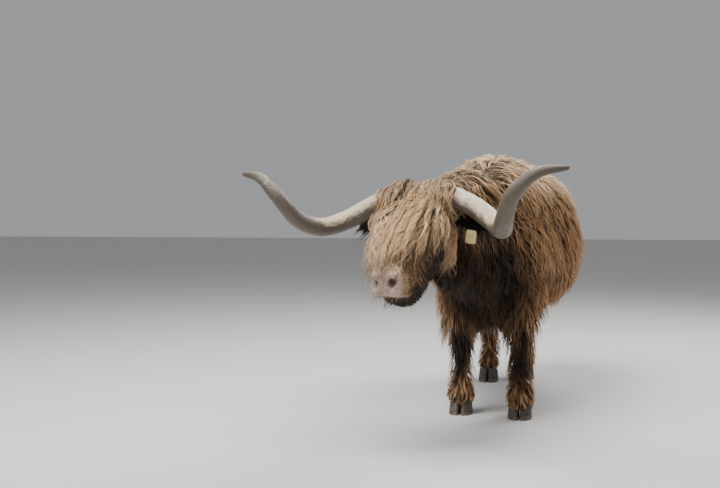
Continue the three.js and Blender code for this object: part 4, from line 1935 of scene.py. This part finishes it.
@dataclass(frozen=True)
class Hood:
    """The outline that the forelock fills, in the face's axes: rows of y, half width, top and
    bottom.
    """

    rows: tuple[tuple[float, float, float, float], ...] = (
        (-0.42, 0.078, 0.004, -0.19),
        (-0.375, 0.114, 0.026, -0.215),
        (-0.31, 0.158, 0.044, -0.24),
        (-0.235, 0.18, 0.054, -0.24),
        (-0.155, 0.176, 0.05, -0.215),
        (-0.075, 0.152, 0.036, -0.17),
        (0.0, 0.128, 0.012, -0.12),
        (0.055, 0.09, -0.004, -0.07),
    )
    swept: float = 0.035

    def room(self, points: Array) -> Array:
        """Measures how far points are inside the outline, negative outside.

        Args:
            points: Places in the frame.

        Returns:
            The room there is.
        """
        x, y, z = HEAD.to_face(points).T
        x = x + self.swept
        table = np.array(self.rows)
        half, top, bottom = (np.interp(y, table[:, 0], column) for column in table[:, 1:].T)
        middle = (top + bottom) / 2
        across = np.abs(x) / half
        up = np.maximum(z - middle, 0) / (top - middle)
        reach = (across**2.2 + up**2.2) ** (1 / 2.2)
        return (1 - reach) * np.hypot(x, np.maximum(z - middle, 0)) / np.maximum(reach, 0.2)


class Stretch(Enum):
    """The stretches of the body that the coat is parted into, from head to tail."""

    NECK = "neck"
    SHOULDER = "shoulder"
    FLANK = "flank"
    RUMP = "rump"


@dataclass
class Coat:
    """The shaggy coat over body, legs, head, ears and tail."""

    skin: Skin
    ground: Ground
    material: Material
    body_tufts: int = 19600
    leg_tufts: int = 5600
    head_tufts: int = 3600
    forelock_tufts: int = 1900
    under_tufts: int = 1900
    parting: float = -0.04
    ear_tufts: int = 520
    tail_tufts: int = 1100

    @property
    def pelt(self) -> Pelt:
        """Gives how the coat lies over the skin."""
        return Pelt(self.skin)

    def build(self) -> None:
        """Grows every part of the coat."""
        self.build_body()
        self.build_legs()
        self.build_tail()
        self.build_head()
        self.build_forelock()
        for number, side in enumerate(SIDES, start=1):
            self.build_ear(number, side)
        Whiskers().build(self.ground, self.material)

    def piece(self, name: str, tufts: Tufts, *nodes: str) -> None:
        """Makes one piece of the coat and dresses it."""
        finish_piece(new_object(name, tufts.mesh(name)), self.material, "coat", *nodes)

    def combed(
        self, seed: int, roots: Roots, lie: Callable, length: Array, height: Array, growth: Growth
    ) -> Tufts:
        """Grows tufts over the skin, each with its own steady height."""
        return Comb(self.skin.distance, seed, roots, lie, length, steady(height), growth).grow()

    def build_body(self) -> None:
        """Grows the coat of trunk and neck, and parts it into pieces."""
        pelt, ground = self.pelt, self.ground
        middles = ground.middles
        share = 1.0 * (ground.part == 0)
        for other in (pelt.face_share, pelt.legs_share, pelt.bare, pelt.tail_share):
            share = share * (1 - other(middles))
        under = ease(-0.3, -0.9, ground.facing[:, 2])
        roots = ground.scatter(self.body_tufts, share * (1 - 0.4 * under), 11)
        length = pelt.length(roots.points, roots.normals)
        height = pelt.height(roots.points)
        tufts = self.combed(21, roots, pelt.lie, length, height, Growth())
        left = roots.points[:, 0] > PLACE.middle_x
        ends = [PLACE.shoulder_y - 0.22, PLACE.shoulder_y + 0.22, PLACE.rump_y - 0.62]
        part = np.searchsorted(ends, roots.points[:, 1])
        for number, stretch in enumerate(Stretch):
            for side, chosen in (("left", left), ("right", ~left)):
                self.piece(f"coat_{stretch.value}_{side}", tufts.part((part == number) & chosen))

    def build_legs(self) -> None:
        """Grows the coat of the legs, thick behind and round the claws."""
        pelt, ground = self.pelt, self.ground
        share = pelt.legs_share(ground.middles) * (1 + ease(0.3, 0.1, ground.middles[:, 2]))
        roots = ground.scatter(self.leg_tufts, share * (ground.part == 0), 12)
        length = pelt.length(roots.points, roots.normals)
        growth = Growth(
            rings=5, width=0.005, lock_gap=0.017, clump=0.72, wave=0.004, wavelength=0.07,
            gravity=0.9, rise=0.45, hold_off=0.95, stray=0.1, lift=1.3,
        )
        height = np.maximum(pelt.height(roots.points), 0.012)
        tufts = self.combed(22, roots, pelt.lie, length, height, growth)
        fore = roots.points[:, 1] < (PLACE.shoulder_y + PLACE.rump_y) / 2
        self.piece("coat_fore_legs", tufts.part(fore))
        self.piece("coat_hind_legs", tufts.part(~fore))

    def build_tail(self) -> None:
        """Grows the hair of the tail, which lengthens into the switch."""
        pelt, ground = self.pelt, self.ground
        z = ground.middles[:, 2]
        share = pelt.tail_share(ground.middles) * (ground.part == 0)
        share = share * (1 + 3.0 * ease(0.75, 0.55, z))
        roots = ground.scatter(self.tail_tufts, share, 15)
        low = ease(0.78, 0.58, roots.points[:, 2])
        length = mixed(0.1, 0.3, low) * np.random.default_rng(35).uniform(0.8, 1.1, len(low))
        length = np.minimum(length, roots.points[:, 2] - 0.21)
        height = mixed(0.02, 0.05, low)
        growth = Growth(
            rings=8, width=0.0042, lock_gap=0.022, gravity=2.2, rise=0.5, wavelength=0.11,
            hang=1.6, lift=0.7, ruffle=0.15, stray=0.05,
        )
        falling = steady(np.array([0.0, 0.05, -1.0]))
        tufts = self.combed(25, roots, falling, length, height, growth)
        self.piece("coat_tail", tufts, "tail_switch")

    def build_head(self) -> None:
        """Grows the shorter coat of the head."""
        pelt, ground = self.pelt, self.ground
        share = pelt.face_share(ground.middles) * (1 - pelt.bare(ground.middles))
        share = share * (1 + ease(-0.3, -0.38, HEAD.to_face(ground.middles)[:, 1]))
        roots = ground.scatter(self.head_tufts, share * (ground.part == 0), 13)
        length = pelt.face_length(roots.points)
        growth = Growth(rings=4, width=0.0034, lock_gap=0.014, wave=0.003, wavelength=0.05, lift=0.5)
        height = np.clip(length * 0.35, 0.004, 0.03)
        tufts = self.combed(23, roots, pelt.face_lie, length, height, growth)
        tufts.widths = tufts.widths * mixed(1.0, 0.6, ease(0.035, 0.018, length))
        self.piece("coat_head", tufts)

    def over_horn_roots(self) -> Field:
        """Measures the distance from the skin and the first part of each horn.

        Returns:
            The distances, on the skin's grid.
        """
        under = self.skin.distance
        corners = under.corners()
        values = under.values
        radius = HORN_THICKNESS / 2 + 0.002
        for sign in SIDES.values():
            path = [(sign * out, -ahead, up, radius) for out, ahead, up in HORN_PATH[:3]]
            values = joined(values, distance_from_path(corners, HEAD.bar(path)), 0.02)
        return Field(values, under.low, under.step)

    def build_forelock(self) -> None:
        """Grows the forelock: a close under layer darkened with painted shade, and long pale locks that
        lie over it, painted lighter the further out they lie.
        """
        under = Growth(
            rings=13, width=0.0034, lock_gap=0.015, clump=0.8, wavelength=0.105, wave=0.0062,
            gravity=0.6, ruffle=0.08, lift=0.8, stray=0.03, rise=0.3, hold_off=0.85, tones=0.14,
            gather=0.24, shade=0.5, layers=(0.1, 0.62), crowding=1.0, tone=0.16,
        )
        over = replace(
            under, rings=20, width=0.0033, lock_gap=0.0225, clump=0.94, wave=0.008, tones=0.25,
            shade=1.7, layers=(0.42, 1.0), looseness=0.03, tone=0.52, stray=0.025, gather=0.22,
        )
        tufts, _ = self.forelock_layer(self.under_tufts, under, 14)
        # The under layer's painted shade is lifted on the poll.
        on_poll = ease(-0.05, 0.02, HEAD.to_face(tufts.roots.points)[:, 1])
        tufts.tone = np.clip(tufts.tone + 0.7 * on_poll, 0, 1)
        self.piece("forelock_under", tufts, "forelock")
        tufts, left = self.forelock_layer(self.forelock_tufts, over, 17)
        self.piece("forelock_left", tufts.part(left), "forelock")
        self.piece("forelock_right", tufts.part(~left), "forelock")

    def forelock_layer(self, count: int, growth: Growth, seed: int) -> tuple[Tufts, Array]:
        """Grows one layer of the forelock, from the poll over brow, eyes and nose.

        Args:
            count: How many tufts.
            growth: How they grow.
            seed: The seed of their roots.

        Returns:
            The tufts, and which of them grow left of the parting.
        """
        ground = self.ground
        x, y, z = HEAD.to_face(ground.middles).T
        share = ease(0.118, 0.1, np.abs(x + 0.012)) * ease(0.085, 0.06, y)
        share = share * ease(-0.125, -0.06, y) * ease(-0.085, -0.04, z)
        share = share * (1 + 1.5 * ease(-0.03, 0.01, y))
        roots = ground.scatter(count, share * (ground.part == 0), seed)
        place, hood = HEAD.to_face(roots.points), Hood()
        off_parting = place[:, 0] - self.parting
        left, side = off_parting > 0, np.clip(np.abs(off_parting) / 0.125, 0, 1)
        target = mixed(0.0, np.where(left, 0.165, -0.173), side**0.75)
        target = target - hood.swept + 0.008 * ripple(roots.points, 0.05, 34)[:, 0]
        shortening = side ** np.where(left, 1.9, 1.1)
        length = mixed(0.46, np.where(left, 0.15, 0.25), shortening)
        length = length + 0.35 * (place[:, 1] + 0.05)
        length = length * np.random.default_rng(33).uniform(0.84, 1.05, len(length))
        ground_under = self.over_horn_roots()

        def height(points: Array) -> Array:
            """Says how far the locks may stand off skin and horns."""
            return np.clip(ground_under.at(points) + hood.room(points), 0.006, 0.092)

        def lie(points: Array) -> Array:
            """Spreads the locks from the parting to their own lines down the face."""
            across, down, _ = HEAD.to_face(points).T
            narrow = mixed(1.0, 0.66, ease(-0.22, -0.42, down))
            outwards = np.clip((target * narrow - across) / 0.045, -1.5, 1.5)
            hanging = ease(0.07, 0.125, np.abs(across))
            way = np.stack([outwards, mixed(-1.0, -0.66, hanging), mixed(-0.05, -0.75, hanging)], 1)
            return way @ HEAD.axes().T

        return Comb(ground_under, seed + 10, roots, lie, length, height, growth).grow(), left

    def build_ear(self, number: int, side: str) -> None:
        """Grows an ear's fringe: short above, long and hanging from its lower edge.

        Args:
            number: The part of the ground that the ear is.
            side: Which ear.
        """
        ground = self.ground
        chosen = ground.part == number
        roots = ground.scatter(self.ear_tufts, chosen.astype(float), 15 + number)
        corners = ground.corners[chosen].reshape(-1, 3)
        leaf = Field.around(corners, np.arange(len(corners)).reshape(-1, 3), 0.004, 16)
        low = ease(0.1, -0.6, roots.normals[:, 2])
        chance = np.random.default_rng(40 + number)
        length = mixed(0.05, 0.12, low) * chance.uniform(0.7, 1.15, len(low))
        outward = np.array([SIDES[side] * 0.9, 0.1, -0.45]) @ turn_about("Z", HEAD.yaw).T
        growth = Growth(rings=6, width=0.0036, lock_gap=0.018, gravity=1.5, rise=0.6, wave=0.004, lift=0.6)
        height = steady(np.full(len(low), 0.022))
        comb = Comb(leaf, 50 + number, roots, steady(outward), length, height, growth)
        self.piece(f"coat_ear_{side}", comb.grow())


@dataclass(frozen=True)
class Whiskers:
    """Stiff whiskers round the lips and the chin, set over a patch of skin by a node tree."""

    per_square_metre: float = 6500.0
    length: float = 0.026
    thickness: float = 0.0008
    hang: Triple = (0.0, -0.25, -0.8)
    seed: int = 61

    def patch(self, ground: Ground) -> Object:
        """Copies the skin round the lips and the chin, with its places on the bake map.

        Args:
            ground: The skin.

        Returns:
            The patch.
        """
        middles = HEAD.to_face(ground.middles)
        lip = Face().lip_height(middles)
        near = (middles[:, 1] + HEAD.nose < 0.085) & (ground.part == 0)
        chosen = near & (lip > -0.045) & (lip < 0.02) & (np.abs(lip) > 0.005)
        corners = ground.corners[chosen].reshape(-1, 3)
        mesh = bpy.data.meshes.new("whiskers")
        mesh.from_pydata(corners.tolist(), [], np.arange(len(corners)).reshape(-1, 3).tolist())
        unwrap = ground.unwrap[chosen].reshape(-1, 2)
        add_vectors(mesh, "map", np.pad(unwrap, ((0, 0), (0, 1))))
        return new_object("whiskers", mesh)

    def tree(self) -> NodeTree:
        """Makes the tree that stands tapering whiskers of varied size on a patch.

        Returns:
            The tree.
        """
        kinds = {
            "Patch": "Geometry", "Per Square Metre": "Float", "Length": "Float",
            "Thickness": "Float", "Hang": "Vector", "Seed": "Int", "Material": "Material",
        }
        wire, source, result = new_tree("whiskers", "Geometry", kinds, ("Whiskers", "Geometry"))
        given = source.outputs

        def kept(geometry: object, name: str, kind: str, value: object) -> object:
            """Keeps a value on a geometry's points."""
            ends = {"Geometry": geometry, "Name": name, "Value": value}
            return wire.add("GeometryNodeStoreNamedAttribute", ends, data_type=kind).outputs[0]

        spread = wire.add(
            "GeometryNodeDistributePointsOnFaces",
            {"Mesh": given["Patch"], "Density": given["Per Square Metre"], "Seed": given["Seed"]},
        )
        place = wire.add("GeometryNodeInputPosition").outputs[0]
        points = kept(spread.outputs["Points"], "root", "FLOAT_VECTOR", place)
        points = kept(points, "tone", "FLOAT", 0.45)
        share = wire.add("GeometryNodeSplineParameter").outputs["Factor"]
        tip = wire.add("CombineXYZ", {"Z": given["Length"]}).outputs[0]
        line = wire.add("GeometryNodeCurvePrimitiveLine", {"End": tip}).outputs[0]
        line = wire.add("GeometryNodeResampleCurve", {"Curve": line, "Count": 4}).outputs[0]
        line = kept(line, "along", "FLOAT", share)
        taper = wire.range(share, 0.0, 1.0, 1.0, 0.15)
        line = wire.add("GeometryNodeSetCurveRadius", {"Curve": line, "Radius": taper}).outputs[0]
        half = wire.times(given["Thickness"], 0.5)
        ring = wire.add("GeometryNodeCurvePrimitiveCircle", {"Resolution": 3, "Radius": half}).outputs[0]
        ends = {"Curve": line, "Profile Curve": ring, "Fill Caps": True}
        whisker = wire.add("GeometryNodeCurveToMesh", ends).outputs[0]
        way = wire.add("VectorMath", {0: spread.outputs["Normal"], 1: given["Hang"]}, operation="ADD")
        turn = wire.add("FunctionNodeAlignRotationToVector", {"Vector": way.outputs[0]}, axis="Z")
        scale = wire.add("FunctionNodeRandomValue", {"Min": 0.5, "Max": 1.2, "Seed": given["Seed"]})
        ends = {
            "Points": points, "Instance": whisker, "Rotation": turn.outputs[0],
            "Scale": scale.outputs["Value"],
        }
        stood = wire.add("GeometryNodeInstanceOnPoints", ends).outputs[0]
        solid = wire.add("GeometryNodeRealizeInstances", {"Geometry": stood}).outputs[0]
        ends = {"Geometry": solid, "Material": given["Material"]}
        wire.fill(result, {0: wire.add("GeometryNodeSetMaterial", ends).outputs[0]})
        return wire.tree

    def build(self, ground: Ground, material: Material) -> None:
        """Grows the whiskers as one plain mesh.

        Args:
            ground: The skin to root them in.
            material: The hair's material.
        """
        patch, tree = self.patch(ground), self.tree()
        modifier = patch.modifiers.new("whiskers", "NODES")
        modifier.node_group = tree
        sizes = {
            "Per Square Metre": self.per_square_metre, "Length": self.length,
            "Thickness": self.thickness, "Hang": self.hang, "Seed": self.seed, "Material": material,
        }
        for socket in tree.interface.items_tree:
            if socket.name in sizes:
                modifier[socket.identifier] = sizes[socket.name]
        graph = bpy.context.evaluated_depsgraph_get()
        mesh = bpy.data.meshes.new_from_object(patch.evaluated_get(graph))
        patch.modifiers.remove(modifier)
        patch.data = mesh
        places = read_rows(mesh.attributes["map"].data, "vector")[:, :2]
        along = read_rows(mesh.attributes["along"].data, "value", 1)[:, 0]
        across = np.arange(len(along)) % 3 - 1.0
        add_bake_map(mesh, places + PATCH_HALF * np.stack([across, along * 2 - 1], 1))
        finish_piece(patch, material, "coat")


# ---- The hard parts ----


@dataclass
class Horn:
    """One horn: out from the poll, forward and up, then back out to the blunt tip."""

    side: str
    material: Material
    around: int = 48
    along: int = 180

    def build(self) -> None:
        """Makes the horn, with growth rings near its root and fine lengthwise ridges."""
        sign = SIDES[self.side]
        path = smooth_path([(sign * out, -ahead, up) for out, ahead, up in HORN_PATH], self.along)
        share = np.linspace(0, 1, self.along)
        radius = HORN_THICKNESS / 2 * (1 - 0.3 * share) * (1 - 0.74 * share**5)
        radius = radius * np.sqrt(1 - np.clip((share - 0.985) / 0.0152, 0, 1) ** 2)
        rings = 1 + np.sin(share * 150 + 2 * np.sin(share * 23))
        radius = radius - 0.0007 * rings * ease(0.55, 0.05, share) * (radius > 0.01)
        ahead = unit(np.gradient(path, axis=0))
        across = unit(np.cross(ahead, UP))
        above = np.cross(across, ahead)
        turn = np.arange(self.around) * 2 * math.pi / self.around
        ridges = 1 - 0.006 * (1 + np.sin(turn * 11 + 1.0)) - 0.004 * (1 + np.sin(turn * 17))
        around = np.cos(turn)[:, None] * across[:, None] + np.sin(turn)[:, None] * above[:, None]
        places = path[:, None] + around * (radius[:, None] * ridges)[..., None]
        ends = HEAD.from_poll(path[0]), HEAD.from_poll(path[-1])
        mesh = tube_mesh(f"horn_{self.side}", HEAD.from_poll(places), *ends)
        add_values(mesh, "along", np.append(np.repeat(share, self.around), [0.0, 1.0]))
        # under: how far a place faces down, for the painted shade beneath the horn.
        under = 0.5 - 0.62 * around[..., 2] + 0.12 * around[..., 1]
        add_values(mesh, "under", np.append(under, [0.5, 0.5]))
        grain = np.stack([
            np.tile(np.cos(turn), self.along),
            np.tile(np.sin(turn), self.along),
            np.repeat(share * 4.0, self.around),
        ], axis=1)
        add_vectors(mesh, "grain", np.vstack([grain, [[0, 0, 0], [0, 0, 4.0]]]))
        recalculate(mesh)
        piece = new_object(f"horn_{self.side}_sheath", mesh)
        finish_piece(piece, self.material, "horn", f"horn_{self.side}")


@dataclass
class Claw:
    """One claw of a hoof, smoothed from the frame's solid, with its sole kept flat."""

    node: str
    material: Material

    def build(self) -> None:
        """Makes the claw, with its faces merged and its edges rounded."""
        mesh = bpy.data.meshes.new(self.node)
        with edited(mesh) as work:
            work.from_mesh(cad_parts[self.node].data)
            bmesh.ops.remove_doubles(work, verts=work.verts, dist=0.0001)
            flat = {"verts": work.verts, "edges": work.edges, "angle_limit": math.radians(4)}
            bmesh.ops.dissolve_limit(work, **flat)
        piece = new_object(f"{self.node}_horn", mesh)
        bevel = piece.modifiers.new("edges", "BEVEL")
        bevel.width, bevel.segments, bevel.limit_method = 0.003, 2, "ANGLE"
        bevel.angle_limit = math.radians(35)
        finish_piece(piece, self.material, "hoof", self.node)


@dataclass
class Eye:
    """An eyeball with its clear bulge."""

    side: str
    material: Material
    radius: float = 0.02

    def build(self) -> None:
        """Makes the eyeball in the place of its node."""
        node = f"eye_{self.side}"
        mesh = bpy.data.meshes.new(node)
        with edited(mesh) as work:
            bmesh.ops.create_uvsphere(work, u_segments=48, v_segments=32, radius=1.0)
        points = mesh_points(mesh)
        bulge = ease(0.8, 0.96, points[:, 2:3]) * 0.04
        gaze = points[:, :3] / 0.7
        points = points * (1 + bulge) * self.radius * 0.965
        turn = HEAD.axes_towards([SIDES[self.side] * 0.86, -0.38, 0.3])
        set_mesh_points(mesh, points @ turn.T + node_middle(node))
        add_vectors(mesh, "gaze", gaze)
        finish_piece(new_object(f"{node}_ball", mesh), self.material, "eye", node)


@dataclass
class EarTag:
    """The blank tag in the left ear: a plate with rounded corners and a button."""

    material: Material
    width: float = 0.046
    height: float = 0.05
    thickness: float = 0.003
    corner: float = 0.009
    button_z: float = 0.012

    def outline(self) -> Array:
        """Gives the plate's outline, round its four corners.

        Returns:
            The points, level.
        """
        rows = []
        for number, (x, z) in enumerate(((1, 1), (-1, 1), (-1, -1), (1, -1))):
            for step in range(6):
                angle = math.radians(90 * number + step * 18)
                across = x * (self.width / 2 - self.corner) + self.corner * math.cos(angle)
                up = z * (self.height / 2 - self.corner) + self.corner * math.sin(angle)
                rows.append((across, up))
        return np.array(rows)

    @staticmethod
    def level(outline: Array, y: float) -> Array:
        """Sets an outline of places across and up at a depth."""
        return np.insert(outline, 1, y, axis=1)

    def plate(self) -> Mesh:
        """Makes the plate, a little smaller at its two faces.

        Returns:
            The plate.
        """
        half, outline = self.thickness / 2, self.outline()
        levels = ((-half, 0.96), (-half * 0.5, 1.0), (half * 0.5, 1.0), (half, 0.96))
        rings = np.stack([self.level(outline * scale, y) for y, scale in levels])
        return tube_mesh("tag", rings, np.array([0, -half, 0]), np.array([0, half, 0]))

    def button(self, sign: int) -> Mesh:
        """Makes the domed button on one of the plate's faces.

        Args:
            sign: Which face, 1 or -1.

        Returns:
            The button.
        """
        turn = np.arange(20) * math.pi / 10
        ring = np.stack([np.cos(turn), np.sin(turn)], 1)
        face, middle = self.thickness / 2, np.array([0.0, self.button_z])
        steps = ((0.0085, 0.0), (0.0085, 0.0016), (0.006, 0.0024), (0.0032, 0.0034))
        rings = [self.level(radius * ring + middle, sign * (face + out)) for radius, out in steps]
        ends = [np.array([0, sign * (face + out), self.button_z]) for out in (0.0, 0.0036)]
        return tube_mesh("button", np.stack(rings), *ends)

    def build(self) -> None:
        """Makes the tag in the place of its node."""
        mesh = bpy.data.meshes.new("ear_tag_plate")
        with edited(mesh) as work:
            for part in (self.plate(), self.button(1), self.button(-1)):
                work.from_mesh(part)
        recalculate(mesh)
        tilt = turn_about("Z", HEAD.yaw + math.radians(-12)) @ turn_about("Y", math.radians(6))
        set_mesh_points(mesh, mesh_points(mesh) @ tilt.T + node_middle("ear_tag"))
        finish_piece(new_object("ear_tag_plate", mesh), self.material, "tag", "ear_tag")


# ---- Studio ----


@dataclass(frozen=True)
class Lamp:
    """A square soft lamp: where it hangs, what it shines on, its side, and its power in watts."""

    name: str
    place: Triple
    target: Triple
    side: float
    power: float

    def hang(self) -> None:
        """Hangs the lamp and aims it."""
        data = bpy.data.lights.new(self.name, "AREA")
        data.size, data.energy = self.side, self.power
        lamp = placed(self.name, data)
        lamp.location = self.place
        aim = Vector(self.target) - Vector(self.place)
        lamp.rotation_euler = aim.to_track_quat("-Z", "Y").to_euler()


@dataclass
class Studio:
    """A plain pale floor, soft light from above and a camera on the cow's left front."""

    camera: Triple = (0.636, -4.707, 0.89)
    heading: float = math.atan2(0.2079, 0.9781)
    pitch: float = math.radians(-1.75)
    lens: float = 52.5
    floor: float = 30.0
    lamps: tuple[Lamp, ...] = (
        Lamp("key", (-1.2, -1.6, 4.6), (0.2, -0.2, 0.8), 2.6, 390.0),
        Lamp("back", (1.8, 2.6, 4.2), (0.2, 0.2, 0.9), 2.6, 230.0),
        Lamp("fill", (1.8, -4.6, 2.0), (0.2, -0.4, 0.8), 3.5, 12.0),
    )

    def build(self) -> None:
        """Sets up floor, light and camera."""
        self.add_floor()
        self.add_camera()
        for lamp in self.lamps:
            lamp.hang()
        world = bpy.data.worlds.new("studio")
        world.use_nodes = True
        sky = world.node_tree.nodes["Background"].inputs
        sky["Color"].default_value = (0.85, 0.86, 0.88, 1)
        sky["Strength"].default_value = 0.42
        bpy.context.scene.world = world

    def add_floor(self) -> None:
        """Lays the floor."""
        mesh = bpy.data.meshes.new("floor")
        corners = ((-1, -1), (1, -1), (1, 1), (-1, 1))
        mesh.from_pydata([(x * self.floor, y * self.floor, 0) for x, y in corners], [], [range(4)])
        floor = placed("floor", mesh)
        mesh.materials.append(FloorFinish().material())

    def add_camera(self) -> None:
        """Stands the camera."""
        data = bpy.data.cameras.new("camera")
        data.lens, data.sensor_width, data.sensor_fit = self.lens, 36.0, "HORIZONTAL"
        camera = placed("camera", data)
        camera.location = self.camera
        camera.rotation_euler = (math.pi / 2 + self.pitch, 0.0, self.heading)
        bpy.context.scene.camera = camera


# ---- Everything ----


def main() -> None:
    """Builds the cow and the studio."""
    logging.basicConfig(level=logging.INFO, format="%(message)s")
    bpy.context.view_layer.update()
    Studio().build()
    finish = CoatFinish()
    colours = finish.colour_group()
    hair = finish.hair(colours)
    skin = Skin()
    skin.build()
    skin.dress(SkinFinish().material(colours))
    horn = HornFinish().material()
    for side in SIDES:
        Horn(side, horn).build()
    hoof = HoofFinish().material()
    for leg in LEGS:
        for claw in ("outer", "inner"):
            Claw(f"{leg}_{claw}_claw", hoof).build()
    eye = EyeFinish().material()
    for side in SIDES:
        Eye(side, eye).build()
    EarTag(TagFinish().material()).build()
    Coat(skin, Ground.of(skin.piece.data), hair).build()


if __name__ == "__main__":
    main()
